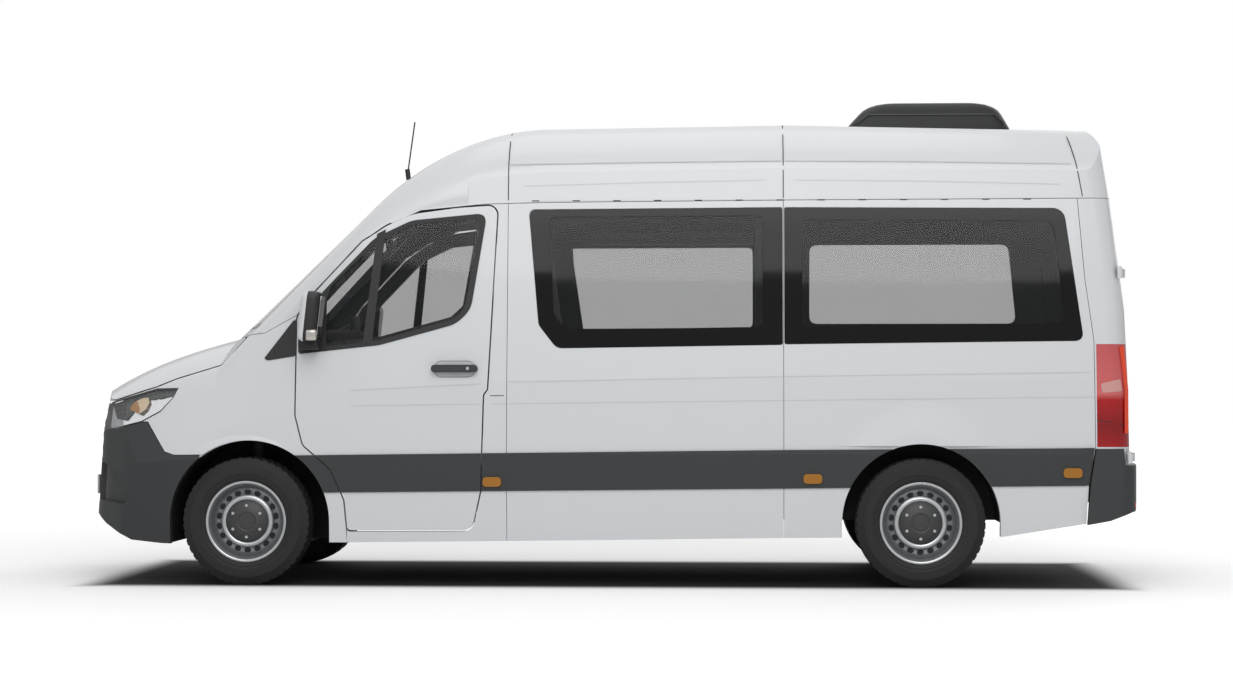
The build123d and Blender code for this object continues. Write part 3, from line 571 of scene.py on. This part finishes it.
def puff(shape, cap):
    """Swell a closed shape as padded cloth, no point moving further than cap."""
    bmesh.ops.recalc_face_normals(shape, faces=shape.faces[:])
    scene = bpy.context.scene
    mesh = bpy.data.meshes.new("pad")
    shape.to_mesh(mesh)
    pad = bpy.data.objects.new("pad", mesh)
    scene.collection.objects.link(pad)
    even = pad.modifiers.new("even", "REMESH")
    even.mode = "VOXEL"
    even.voxel_size = pad_voxel
    pad.data = bpy.data.meshes.new_from_object(pad.evaluated_get(bpy.context.evaluated_depsgraph_get()))
    pad.modifiers.remove(even)
    rest = [v.co.copy() for v in pad.data.vertices]
    swell = pad.modifiers.new("swell", "CLOTH")
    swell.settings.use_pressure = True
    swell.settings.uniform_pressure_force = pad_pressure
    swell.settings.effector_weights.gravity = 0.0
    swell.point_cache.frame_end = pad_frames
    for step in range(1, pad_frames + 1):
        scene.frame_set(step)
    soft = bpy.data.meshes.new_from_object(pad.evaluated_get(bpy.context.evaluated_depsgraph_get()))
    for vert, start in zip(soft.vertices, rest):
        move = vert.co - start
        vert.co = start + move.normalized() * min(move.length, cap)
    scene.frame_set(1)
    bpy.data.objects.remove(pad)
    shape.clear()
    shape.from_mesh(soft)
    bmesh.ops.smooth_vert(shape, verts=shape.verts[:], factor=0.5, use_axis_x=True, use_axis_y=True, use_axis_z=True)
    return shape


# black borders printed on the side glass
pane_lean = math.radians(4.92)
window_borders = [
    ("front", [(1.544, 2.051), (2.923, 2.058), (2.923, 1.312), (1.702, 1.294), (1.602, 1.420)],
     [0.045, 0.012, 0.012, 0.16, 0.16],
     [(1.655, 2.010), (2.816, 2.014), (2.816, 1.408), (1.752, 1.393), (1.682, 1.476)],
     [0.04, 0.03, 0.03, 0.10, 0.10]),
    ("rear", [(2.935, 2.058), (4.438, 2.048), (4.535, 1.332), (2.935, 1.315)],
     [0.012, 0.07, 0.04, 0.012],
     [(3.030, 1.990), (4.380, 1.982), (4.440, 1.424), (3.030, 1.410)],
     [0.03, 0.07, 0.04, 0.03]),
]
glass_skin = skin_of("side_windows")
for side, hand in hands:
    for part, outer, outer_radii, inner, inner_radii in window_borders:
        border = ring_sheet(rounded(outer, outer_radii), rounded(inner, inner_radii))
        flatten(border, side, glass_skin, 0.0008)
        thicken(border, (0, -side * 0.0004, 0))
        pane = keep(border, f"side_glass_border_{part}_{hand}", frit_black, "body").data
        # both panes of a side shade as one flat sheet, so the sky line runs straight through them
        pane.normals_split_custom_set([(0.0, side * math.cos(pane_lean), math.sin(pane_lean))] * len(pane.loops))

# black frame of the cab door glass, its division bar, and the sail panel ahead of it
door_frame_outer = [
    (0.284, 1.262), (0.520, 1.288), (0.730, 1.310), (1.146, 1.424), (1.230, 1.500), (1.316, 2.034), (0.900, 1.994),
    (0.700, 1.899), (0.455, 1.646), (0.284, 1.458),
]
door_frame_inner = [
    (0.437, 1.308), (0.560, 1.316), (0.720, 1.336), (1.138, 1.452), (1.198, 1.514), (1.284, 2.008), (0.905, 1.970),
    (0.708, 1.876), (0.460, 1.630), (0.440, 1.570),
]
door_frame_radii = [0.02, 0.06, 0.3, 0.16, 0.16, 0.05, 0.2, 0.2, 0.06, 0.03]
sail_outline = [(0.094, 1.238), (0.270, 1.466), (0.270, 1.252), (0.118, 1.228)]
for side, hand in hands:
    door = f"door_{hand}"
    surround = ring_sheet(rounded(door_frame_outer, door_frame_radii), rounded(door_frame_inner, door_frame_radii))
    cut_up(surround, 0.1)
    trim(surround, side, 0.0025, 0.0022, f"door_glass_frame_{hand}", trim_black, door)
    bar = flat_sheet([(0.640, 1.318), (0.692, 1.324), (0.760, 1.945), (0.712, 1.920)], 0.03)
    trim(bar, side, 0.004, 0.004, f"door_division_bar_{hand}", trim_black, door)
    sail = flat_sheet(rounded(sail_outline, 0.012), 0.05)
    trim(sail, side, 0.003, 0.003, f"sail_panel_{hand}", trim_black, "body")

# wheels: bright lip, bright inner ring, cover with six nuts and a bare centre
lip_profile = [(0.0995, 0.2225), (0.1010, 0.2170), (0.1000, 0.2100), (0.0950, 0.2050), (0.0860, 0.2035),
               (0.0860, 0.2070), (0.0930, 0.2130), (0.0930, 0.2225), (0.0995, 0.2225)]
ring_profile = [(0.050, 0.1430), (0.060, 0.1410), (0.066, 0.1340), (0.067, 0.1260), (0.063, 0.1190), (0.054, 0.1170),
                (0.046, 0.1170), (0.046, 0.1430), (0.050, 0.1430)]
cover_profile = [(0.050, 0.1175), (0.062, 0.1165), (0.070, 0.1080), (0.082, 0.0750), (0.0855, 0.0600),
                 (0.0865, 0.0540), (0.0840, 0.0500), (0.0838, 0.0440), (0.0868, 0.0410), (0.0875, 0.0300),
                 (0.0880, 0.0005)]
wheel_rows = [
    (f"{end}_{hand}", station, side)
    for end, station in (("front", 0.0), ("rear", wheelbase))
    for side, hand in hands
]
nut_circle = 0.086
vent_circle = 0.159
tyre_steps = 144
tread_from = 0.337
tread_base = 0.0035
tread_height = 0.0042
tyre_profile = [
    (-0.100, 0.2200), (-0.108, 0.2260), (-0.1155, 0.2550), (-0.1175, 0.2800), (-0.1140, 0.3050), (-0.1050, 0.3280),
    (-0.0960, 0.3380), (-0.0800, 0.3405), (-0.0480, 0.3410), (-0.0460, 0.3400), (-0.0400, 0.3400), (-0.0380, 0.3415),
    (-0.0060, 0.3420), (0.0060, 0.3420), (0.0380, 0.3415), (0.0400, 0.3400), (0.0460, 0.3400), (0.0480, 0.3410),
    (0.0800, 0.3405), (0.0960, 0.3380), (0.1050, 0.3280), (0.1140, 0.3050), (0.1150, 0.3040), (0.1158, 0.3040),
    (0.1175, 0.2800), (0.1165, 0.2600), (0.1150, 0.2580), (0.1130, 0.2480), (0.1145, 0.2460), (0.1120, 0.2330),
    (0.1060, 0.2250), (0.1000, 0.2200),
]
tread_bands = ((-0.096, -0.048), (-0.038, -0.006), (0.006, 0.038), (0.048, 0.096))
for place, station, side in wheel_rows:
    body = f"road_wheel_{place}"
    keep(lathe(lip_profile, side, station, 96), f"wheel_lip_{place}", wheel_bright, body)
    keep(lathe(ring_profile, side, station, 96), f"wheel_ring_{place}", wheel_bright, body)
    keep(lathe(cover_profile, side, station, 72), f"wheel_cover_{place}", cover_grey, body)
    nuts = []
    for k in range(6):
        angle = math.radians(90 + 60 * k)
        x = sx(station) + nut_circle * math.cos(angle)
        z = axle_z + nut_circle * math.sin(angle)
        nut = bmesh.new()
        bmesh.ops.create_cone(
            nut, cap_ends=True, segments=6, radius1=0.0105, radius2=0.0085, depth=0.016,
            matrix=Matrix.Translation((x, side * (wheel_y + 0.080), z)) @ Matrix.Rotation(-side * math.pi / 2, 4, "X"),
        )
        nuts.append(nut)
    keep(join(*nuts), f"wheel_nuts_{place}", nut_steel, body)
    # black ovals over the vent holes of the wheel disc are painted shade
    vent_shades = []
    for k in range(18):
        angle = math.radians(20 * k + 10)
        vent = bmesh.new()
        oval = Matrix.Diagonal((0.0135, 0.0185, 1.0, 1.0))
        bmesh.ops.create_circle(vent, cap_ends=True, segments=20, radius=1.0, matrix=oval)
        turned = Matrix.Translation((sx(station), side * (wheel_y + 0.0515), axle_z)) @ Matrix.Rotation(angle, 4, "Y")
        spot_at = turned @ Matrix.Translation((vent_circle, 0, 0)) @ Matrix.Rotation(math.pi / 2, 4, "X")
        bmesh.ops.transform(vent, verts=vent.verts[:], matrix=spot_at)
        thicken(vent, (0, -side * 0.003, 0))
        vent_shades.append(vent)
    keep(join(*vent_shades), f"wheel_vent_shades_{place}", liner_black, body)
    profile = [(a, r + tread_base if r > tread_from else r) for a, r in tyre_profile]
    tyre = lathe(profile, side, station, tyre_steps)
    blocks = []
    for face in tyre.faces:
        centre = face.calc_center_median()
        a = side * centre.y - wheel_y
        r = math.hypot(centre.x - sx(station), centre.z - axle_z)
        turn = math.atan2(centre.z - axle_z, centre.x - sx(station)) / (2 * math.pi) * tyre_steps
        band = [k for k, (low, high) in enumerate(tread_bands) if low < a < high]
        if r > 0.325 and band and (math.floor(turn) + band[0]) % 3:
            blocks.append(face)
    made = bmesh.ops.extrude_face_region(tyre, geom=blocks)
    for vert in [g for g in made["geom"] if isinstance(g, bmesh.types.BMVert)]:
        away = Vector((vert.co.x - sx(station), 0, vert.co.z - axle_z))
        vert.co += away.normalized() * tread_height
    bmesh.ops.delete(tyre, geom=blocks, context="FACES_KEEP_BOUNDARY")
    keep(tyre, f"tyre_dressed_{place}", rubber, body, 30.0, (f"tyre_{place}",))

# rear lamps: bright rear edge, pale patch and a dark joint round the lens
lamp_skin = skin_of("rear_lamps")
for side, hand in hands:
    edge = ribbon([(4.738, 1.300), (4.753, 1.174), (4.764, 1.066), (4.762, 0.835)], 0.024)
    trim(edge, side, 0.0012, 0.004, f"rear_lamp_edge_{hand}", red_bright, "body", lamp_skin)
    patch = flat_sheet(rounded([(4.630, 1.052), (4.622, 1.100), (4.728, 1.128), (4.738, 1.060)], 0.012), 0.02)
    trim(patch, side, 0.0008, 0.002, f"rear_lamp_patch_{hand}", lens_pale, "body", lamp_skin)
    divide = ribbon([(4.606, 0.905), (4.680, 0.895), (4.752, 0.880)], 0.003)
    trim(divide, side, 0.0008, 0.002, f"rear_lamp_joint_{hand}", lamp_dark, "body", lamp_skin)

# headlamp insides behind the clear lens: bowl, dark mask and warm reflector
front_lamp_skin = skin_of("headlamps")
lamp_bowl = [(-0.800, 0.984), (-0.700, 1.014), (-0.600, 1.042), (-0.515, 1.064), (-0.402, 1.068), (-0.424, 1.022),
             (-0.494, 0.954), (-0.602, 0.897), (-0.756, 0.860), (-0.810, 0.856)]
lamp_mask = [(-0.800, 0.984), (-0.700, 1.014), (-0.600, 1.042), (-0.515, 1.064), (-0.402, 1.068), (-0.416, 1.036),
             (-0.500, 1.022), (-0.560, 1.016), (-0.620, 0.985), (-0.665, 0.930), (-0.700, 0.900), (-0.760, 0.905)]
lamp_cell = [(-0.676, 0.962), (-0.650, 0.998), (-0.606, 1.020), (-0.566, 1.026), (-0.558, 0.996), (-0.578, 0.958),
             (-0.618, 0.934)]
lamp_flute = [(-0.676, 0.962), (-0.650, 0.998), (-0.632, 1.006), (-0.614, 0.962), (-0.618, 0.934)]
for side, hand in hands:
    for label, outline, sunk, finish in (
        ("bowl", lamp_bowl, 0.036, chrome), ("mask", lamp_mask, 0.026, lamp_dark), ("cell", lamp_cell, 0.020, pearl),
        ("flute", lamp_flute, 0.017, amber),
    ):
        sheet = flat_sheet(rounded(outline, 0.010), 0.012)
        trim(sheet, side, -sunk, 0.002, f"headlamp_{label}_{hand}", finish, "body", front_lamp_skin)

for side, hand in hands:
    top_edge = ribbon([(-0.800, 0.994), (-0.769, 1.002), (-0.655, 1.032), (-0.515, 1.071), (-0.400, 1.073)], 0.010)
    low_edge = ribbon([(-0.392, 1.074), (-0.418, 1.022), (-0.489, 0.948), (-0.599, 0.891), (-0.700, 0.866)], 0.005)
    edges = join(top_edge, low_edge)
    trim(edges, side, 0.0010, 0.002, f"headlamp_edge_{hand}", trim_black, "body", front_lamp_skin)

# mirrors: leaning housing on a foot, painted cap, clear indicator and glass
mirror_lean = 0.11
mirror_low = 1.33
for side, hand in hands:
    door = f"door_{hand}"
    in_y, out_y = sorted((side * 0.985, side * 1.172))
    foot_in, foot_out = sorted((side * 0.948, side * 1.060))
    shapes = []
    for lift in (0.0, 0.0015):
        low = (sx(0.308) - lift, in_y - lift, mirror_low - lift)
        high = (sx(0.414) + lift, out_y + lift, 1.600 + lift)
        head = block(low, high, 0.042, 6)
        for vert in head.verts:
            vert.co.x += mirror_lean * (vert.co.z - mirror_low)
        shapes.append(head)
    housing, cap = shapes
    foot = block((sx(0.300), foot_in, 1.286), (sx(0.408), foot_out, 1.350), 0.016, 3)
    housing = join(housing, foot)
    keep(housing, f"mirror_housing_{hand}", trim_black, door, stands_for=(f"door_mirror_{hand}",))
    geom = cap.verts[:] + cap.edges[:] + cap.faces[:]
    split_at = (sx(0.352), 0, 1.4)
    bmesh.ops.bisect_plane(cap, geom=geom, plane_co=split_at, plane_no=(1, 0, -mirror_lean), clear_outer=True)
    keep(cap, f"mirror_cap_{hand}", paint, door)
    low_y, high_y = sorted((side * 1.130, side * 1.1755))
    repeat = block((sx(0.362), low_y, 1.333), (sx(0.420), high_y, 1.392), 0.012, 3)
    keep(repeat, f"mirror_indicator_{hand}", indicator, door)
    pane = rounded([(1.010, 1.360), (1.010, 1.575), (1.148, 1.575), (1.148, 1.360)], 0.03)
    outline = [(sx(0.4150) + mirror_lean * (q[1] - mirror_low), side * q[0], q[1]) for q in pane]
    glass = plate(outline, (0.002, 0, 0))
    keep(glass, f"mirror_glass_{hand}", mirror_glass, door)

# handle dishes and locks
dish_rim = rounded([(1.040, 1.139), (1.040, 1.223), (1.252, 1.223), (1.252, 1.139)], 0.042, 8)
dish_middle = Vector((1.146, 1.181))
dish_low, dish_high = 1.120, 1.242
dish_sunk = 0.0015
dish_depth = 0.006
for side, hand in hands:
    low, high = [side_depth(side_skin[side], side, sx(1.146), z) for z in (dish_low, dish_high)]
    dish = bmesh.new()
    rows = []
    for share in (1.0, 0.94, 0.84, 0.68, 0.46, 0.2):
        row = []
        for point in dish_rim:
            spot = dish_middle + (point - dish_middle) * share
            depth = low + (high - low) * (spot[1] - dish_low) / (dish_high - dish_low)
            depth -= dish_sunk + dish_depth * (1 - share ** 2)
            row.append(dish.verts.new((sx(spot[0]), side * depth, spot[1])))
        rows.append(row)
    wrap(dish, rows)
    thicken(dish, (0, -side * 0.003, 0))
    keep(dish, f"handle_dish_{hand}", paint, f"door_{hand}")
for side, hand in hands:
    lock = bmesh.new()
    bmesh.ops.create_cone(
        lock, cap_ends=True, segments=24, radius1=0.0095, radius2=0.0085, depth=0.004,
        matrix=Matrix.Translation((sx(1.220), side * 1.0195, 1.184)) @ Matrix.Rotation(-side * math.pi / 2, 4, "X"),
    )
    keep(lock, f"door_lock_{hand}", nut_steel, f"door_{hand}")

# roof air unit: a rounded cover with a line pressed into each side
air_levels = [
    # height, front, rear, half width
    (2.516, 3.287, 4.203, 0.518), (2.530, 3.287, 4.200, 0.518), (2.575, 3.326, 4.176, 0.508),
    (2.610, 3.358, 4.157, 0.498), (2.634, 3.382, 4.140, 0.488), (2.654, 3.414, 4.112, 0.474),
    (2.668, 3.452, 4.078, 0.456), (2.6755, 3.490, 4.040, 0.436), (2.679, 3.545, 3.985, 0.400),
]
cover = bmesh.new()
rows = []
for height, front, rear, half in air_levels:
    plan = rounded([(front, -half), (rear, -half), (rear, half), (front, half)], 0.09, 8)
    rows.append([cover.verts.new((sx(q[0]), q[1], height)) for q in plan])
wrap(cover, rows)
cover.faces.new(rows[0])
cover.normal_update()
cover_skin = BVHTree.FromBMesh(cover)
keep(cover, "air_unit_cover", unit_black, "body", stands_for=("roof_air_unit",))
for side, hand in hands:
    line = ribbon([(3.353, 2.560), (3.408, 2.606), (4.113, 2.604), (4.168, 2.552)], 0.008)
    trim(line, side, 0.0015, 0.003, f"air_unit_line_{hand}", charcoal, "body", cover_skin)

# seams over the roof, and the lines pressed into the roof sides, drawn as painted shade
roof_skin = skin_of("roof")
roof_lines = [
    ("seam_a", [(1.430, 2.104), (1.430, 2.440)], 0.005, seam_dark),
    ("seam_b", [(2.929, 2.110), (2.929, 2.470)], 0.005, seam_dark),
    ("seam_c", [(4.541, 2.112), (4.510, 2.290), (4.475, 2.450)], 0.005, seam_dark),
    ("line_a", [(1.440, 2.302), (2.160, 2.311), (2.920, 2.316)], 0.005, painted_crease_shade),
    ("line_b", [(2.938, 2.316), (3.660, 2.309), (4.480, 2.292)], 0.005, painted_crease_shade),
    ("line_c", [(1.521, 2.181), (2.200, 2.198), (2.830, 2.208)], 0.005, painted_crease_shade),
    ("line_d", [(2.990, 2.208), (3.660, 2.200), (4.421, 2.179)], 0.005, painted_crease_shade),
]
for side, hand in hands:
    for label, path, width, finish in roof_lines:
        line = ribbon(path, width)
        trim(line, side, 0.0008, 0.002, f"roof_{label}_{hand}", finish, "body", roof_skin)
    dashes = []
    for k in range(13):
        dash = ribbon([(1.56 + 0.222 * k, 2.099), (1.60 + 0.222 * k, 2.099)], 0.006)
        drape(dash, side, 0.0010)
        thicken(dash, (0, -side * 0.002, 0))
        dashes.append(dash)
    keep(join(*dashes), f"gutter_clips_{hand}", seam_dark, "body")
for label, station in (("front", 1.430), ("rear", 2.929)):
    line = grid((sx(station), 0, 2.7), (1, 0, 0), (0, 1, 0), 0.005, 1.40, 0.02)
    fit(line, (0, 0, -1), 0.0008, 0.002, f"roof_top_seam_{label}", seam_dark, "body", roof_skin)

# lines of painted shade along the creases of the body sides, ends of the rub strips, and the short groove by the fuel
# flap
side_lines = [
    ("door_upper", [(0.575, 1.063), (0.794, 1.074), (1.288, 1.099)]),
    ("middle_upper", [(1.436, 1.110), (2.924, 1.139)]),
    ("quarter_upper", [(2.934, 1.139), (4.563, 1.161)]),
    ("door", [(0.577, 0.980), (1.285, 0.990)]),
    ("post", [(1.345, 0.991), (1.424, 0.992)]),
    ("middle", [(1.436, 0.992), (2.924, 1.010)]),
    ("quarter", [(2.934, 1.010), (4.586, 1.029)]),
]
for side, hand in hands:
    for label, path in side_lines:
        body = f"door_{hand}" if "door" in label else "body"
        line = ribbon(path, 0.005)
        trim(line, side, 0.0008, 0.002, f"side_line_{label}_{hand}", painted_crease_shade, body)
    end = flat_sheet([(4.534, 0.556), (4.534, 0.7565), (4.587, 0.757), (4.558, 0.556)], 0.02)
    trim(end, side, 0.009, 0.009, f"strip_end_{hand}", charcoal, "body")
groove = ribbon([(1.340, 1.036), (1.415, 1.036)], 0.004)
trim(groove, -1, 0.0008, 0.002, "flap_groove", seam_dark, "body")

# pressed lips over the wheel arches
front_lip = [(-0.318, 0.716), (-0.215, 0.789), (-0.077, 0.824), (0.055, 0.822), (0.165, 0.789), (0.268, 0.722)]
rear_lip = [(3.203, 0.768), (3.284, 0.841), (3.445, 0.959), (3.579, 1.010), (3.766, 1.010), (3.899, 0.959),
            (4.005, 0.863), (4.101, 0.772)]
for side, hand in hands:
    keep(flare(0.020, 0.441, front_lip, side, 0.010, 0.716), f"arch_lip_front_{hand}", paint, "body")
    keep(flare(3.665, 0.425, rear_lip, side, 0.014, 0.766), f"arch_lip_rear_{hand}", paint, "body")

# grille slots, lower intake with slats, blank plates
nose_skin = skin_of("front_bumper", "grille")
ahead = -3.2
rearward = (1, 0, 0)
backs = []
for row in range(4):
    backs.append(upright(ahead, 0, 0.670 + (row + 0.5) * 0.0725, 1.036, 0.036, 0.012))
backs.append(upright(ahead, 0, 0.510, 0.800, 0.144, 0.024))
for back in backs:
    lay(back, rearward, 0.001, nose_skin)
keep(join(*backs), "grille_backs", trim_black, "body")
slats = []
for height in (0.462, 0.510, 0.558):
    slat = upright(ahead, 0, height, 0.810, 0.014, 0.014)
    lay(slat, rearward, 0.016, nose_skin)
    thicken(slat, (0.014, 0, 0))
    slats.append(slat)
keep(join(*slats), "intake_slats", charcoal, "body")
front_plate = block((sx(-1.0085), -0.260, 0.470), (sx(-0.9960), 0.260, 0.580), 0.003)
keep(front_plate, "front_plate_blank", plate_white, "body")

# rear doors: blank plate under a lamp bar, handle, high brake lamp, reflectors
door_skin = skin_of("rear_door_left", "rear_door_right")
tail_skin = skin_of("rear_bumper")
behind = 3.4
forward = (-1, 0, 0)
tail_fittings = [
    # name, finish, body, slot, surface
    # side and height of the middle, width and height, size of the squares, how proud, thickness
    ("rear_plate_blank", plate_white, "rear_door_l", "paint", door_skin,
     (-0.405, 0.930), (0.520, 0.110), 0.05, 0.006, 0.005),
    ("plate_lamp_bar", charcoal, "rear_door_l", "dark_plastic", door_skin,
     (-0.405, 1.012), (0.560, 0.034), 0.034, 0.022, 0.024),
    ("rear_door_pull", trim_black, "rear_door_r", "dark_plastic", door_skin,
     (0.150, 1.012), (0.190, 0.040), 0.02, 0.024, 0.026),
    ("high_stop_lamp", red_lens, "body", "red_lamp", roof_skin,
     (0.0, 2.466), (0.300, 0.026), 0.026, 0.006, 0.008),
    ("rear_reflector_left", red_bright, "body", "red_lamp", tail_skin,
     (-0.880, 0.450), (0.110, 0.028), 0.014, 0.003, 0.004),
    ("rear_reflector_right", red_bright, "body", "red_lamp", tail_skin,
     (0.880, 0.450), (0.110, 0.028), 0.014, 0.003, 0.004),
]
for name, finish, body, slot, tree, middle, size, step, proud, back in tail_fittings:
    fit(upright(behind, *middle, *size, step), forward, proud, back, name, finish, body, tree)

# slide rail of the right-hand door
rail = ribbon([(2.945, 1.082), (4.280, 1.082)], 0.030)
trim(rail, 1, 0.002, 0.003, "slide_rail", trim_black, "body")

# inner frames of the far side windows
frame_rows = [
    ("front", [(1.400, 2.075), (2.900, 2.080), (2.900, 1.325), (1.400, 1.300)], 0.02,
     [(1.562, 1.938), (2.771, 1.940), (2.771, 1.450), (1.596, 1.444)], 0.035),
    ("rear", [(2.960, 2.080), (4.480, 2.075), (4.540, 1.330), (2.960, 1.325)], 0.02,
     [(3.119, 1.955), (4.330, 1.955), (4.382, 1.473), (3.119, 1.473)], 0.05),
]
for label, outer, outer_radius, inner, inner_radius in frame_rows:
    surround = ring_sheet(rounded(outer, outer_radius), rounded(inner, inner_radius))
    cut_up(surround, 0.25)
    for vert in surround.verts:
        vert.co.y = 0.898 - 0.09 * (vert.co.z - 1.4)
    thicken(surround, (0, -0.012, 0))
    keep(surround, f"inner_frame_{label}", lining_grey, "body")

# plain fittings inside: rail and post by the far windows, instrument hood, blank screen, inner mirror
inner_blocks = [
    # name, finish, stations, sides, heights, rounding and its steps
    ("side_rail", rail_grey, (1.762, 2.770), (0.665, 0.740), (1.950, 2.020), 0.020, 3),
    ("side_post", rail_grey, (2.786, 2.842), (0.790, 0.840), (0.660, 2.070), 0.012, 2),
    ("instrument_hood", cab_black, (0.350, 0.560), (-0.590, -0.210), (1.320, 1.402), 0.035, 4),
    ("screen_blank", trim_black, (0.430, 0.452), (-0.120, 0.160), (1.335, 1.500), 0.010, 3),
    ("inner_mirror", trim_black, (0.640, 0.670), (-0.120, 0.120), (1.880, 1.945), 0.014, 3),
]
for name, finish, stations, sides, heights, bevel, steps in inner_blocks:
    low, high = [(sx(stations[k]), sides[k], heights[k]) for k in (0, 1)]
    keep(block(low, high, bevel, steps), name, finish, "body")

# cab seats: plinth, padded cushion, back and head rest on each side
seat_pads = [
    # name, low corner, high corner, forward slope of the front and back faces with height, cap
    ("cushion", (0.775, -0.640, 0.990), (1.225, -0.200, 1.112), 0.0, 0.020),
    ("back", (1.262, -0.635, 1.050), (1.335, -0.205, 1.715), 0.130, 0.016),
    ("head_rest", (1.368, -0.545, 1.765), (1.408, -0.295, 1.925), 0.020, 0.010),
]
for label, low, high, slope, cap in seat_pads:
    pad = block((sx(low[0]), low[1], low[2]), (sx(high[0]), high[1], high[2]), 0.024, 3)
    for vert in pad.verts:
        vert.co.x += slope * (vert.co.z - low[2])
    puff(pad, cap)
    other = pad.copy()
    bmesh.ops.scale(other, verts=other.verts[:], vec=(1, -1, 1))
    for hand, shape in (("left", pad), ("right", other)):
        piece = keep(shape, f"seat_{label}_{hand}", cloth, "body", 60.0)
for side, hand in hands:
    low_y, high_y = sorted((side * 0.235, side * 0.605))
    plinth = join(
        block((sx(0.830), low_y, 0.652), (sx(1.220), high_y, 0.940), 0.012),
        block((sx(0.790), low_y - 0.02, 0.935), (sx(1.300), high_y + 0.02, 0.985), 0.014),
        tube([(sx(1.372), side * 0.360, 1.700), (sx(1.384), side * 0.360, 1.790)], 0.006),
        tube([(sx(1.372), side * 0.480, 1.700), (sx(1.384), side * 0.480, 1.790)], 0.006),
    )
    names = ("cab_seats",) if side < 0 else ()
    keep(plinth, f"seat_plinth_{hand}", cab_black, "body", stands_for=names)

# stage: floor, soft light and camera
floor_finish, floor_tree, floor_shader = shader_of("floor_pale")
floor_shader.inputs["Roughness"].default_value = 0.9
floor_shader.inputs["Emission Color"].default_value = (1.0, 1.0, 1.0, 1.0)
floor_shape = bmesh.new()
bmesh.ops.create_grid(floor_shape, x_segments=1, y_segments=1, size=60.0)
floor_mesh = bpy.data.meshes.new("floor")
floor_shape.to_mesh(floor_mesh)
floor_shape.free()
floor_mesh.materials.append(floor_finish)
floor = bpy.data.objects.new("floor", floor_mesh)
bpy.context.scene.collection.objects.link(floor)
# to the camera the floor brightens with distance, and a painted shadow darkens it under the van
seen = floor_tree.nodes.new("ShaderNodeLightPath")
spot = object_point(floor_tree)
away = floor_tree.nodes.new("ShaderNodeVectorMath")
away.operation = "LENGTH"
floor_tree.links.new(spot, away.inputs[0])
haze = ranged(floor_tree, away.outputs["Value"], 3.0, 12.0, 0.28, 0.75)
glow = worked(floor_tree, "MULTIPLY", haze, seen.outputs["Is Camera Ray"])
part_of = floor_tree.nodes.new("ShaderNodeSeparateXYZ")
floor_tree.links.new(spot, part_of.inputs["Vector"])
shadow_fades = []
for axis, half in (("X", 2.86), ("Y", 1.02)):
    size = worked(floor_tree, "ABSOLUTE", part_of.outputs[axis])
    shadow_fades.append(ranged(floor_tree, size, half - 0.16, half + 0.10, kind="SMOOTHSTEP"))
shade = worked(floor_tree, "MAXIMUM", *shadow_fades)
painted_shadow_tone = floor_tree.nodes.new("ShaderNodeMix")
painted_shadow_tone.data_type = "RGBA"
painted_shadow_tone.inputs["A"].default_value = (0.012, 0.012, 0.013, 1.0)
painted_shadow_tone.inputs["B"].default_value = (0.90, 0.90, 0.90, 1.0)
floor_tree.links.new(shade, painted_shadow_tone.inputs["Factor"])
floor_tree.links.new(painted_shadow_tone.outputs["Result"], floor_shader.inputs["Base Color"])
floor_tree.links.new(worked(floor_tree, "MULTIPLY", glow, shade), floor_shader.inputs["Emission Strength"])

world = bpy.data.worlds.new("studio")
bpy.context.scene.world = world
world.use_nodes = True
sky_tree = world.node_tree
sky = sky_tree.nodes["Background"]
sky.inputs["Color"].default_value = (1.0, 1.0, 1.0, 1.0)
# full to the camera, in reflections and through glass, weaker as light; reflections are dimmer under the sky line
seen = sky_tree.nodes.new("ShaderNodeLightPath").outputs
direct = worked(sky_tree, "MAXIMUM", seen["Is Camera Ray"], seen["Is Glossy Ray"])
level = ranged(sky_tree, worked(sky_tree, "MAXIMUM", direct, seen["Is Transmission Ray"]), low=0.40)
aim = sky_tree.nodes.new("ShaderNodeTexCoord")
rise = sky_tree.nodes.new("ShaderNodeSeparateXYZ")
sky_tree.links.new(aim.outputs["Generated"], rise.inputs["Vector"])
tint = sky_tree.nodes.new("ShaderNodeMix")
tint.inputs["A"].default_value = 1.0
sky_tree.links.new(seen["Is Glossy Ray"], tint.inputs["Factor"])
sky_tree.links.new(ranged(sky_tree, rise.outputs["Z"], 0.2355, 0.2395, 0.35), tint.inputs["B"])
sky_tree.links.new(worked(sky_tree, "MULTIPLY", level, tint.outputs["Result"]), sky.inputs["Strength"])

# name, place, target, size, power
lamps = [
    ("key", (0.5, -9.5, 7.0), (0.5, 0.0, 1.0), 7.0, 430.0),
    ("top", (0.0, 0.0, 9.0), (0.0, 0.0, 0.0), 6.0, 120.0),
    ("fill", (7.0, 8.0, 6.0), (0.0, 0.0, 1.0), 7.0, 220.0),
]
for name, place, target, size, power in lamps:
    data = bpy.data.lights.new(name, "AREA")
    data.size = size
    data.energy = power
    lamp = bpy.data.objects.new(name, data)
    lamp.location = place
    lamp.rotation_euler = (Vector(target) - Vector(place)).to_track_quat("-Z", "Y").to_euler()
    bpy.context.scene.collection.objects.link(lamp)

view = bpy.data.cameras.new("photo_camera")
view.sensor_width = 36.0
view.lens = 70.95
view.clip_end = 300.0
camera = bpy.data.objects.new("photo_camera", view)
camera.location = (sx(2.699), -14.1137, 1.0736)
camera.rotation_euler = (math.pi / 2 + 0.018411, 0.0, 0.051206)
bpy.context.scene.collection.objects.link(camera)
bpy.context.scene.camera = camera
bpy.context.scene.view_settings.view_transform = "Standard"
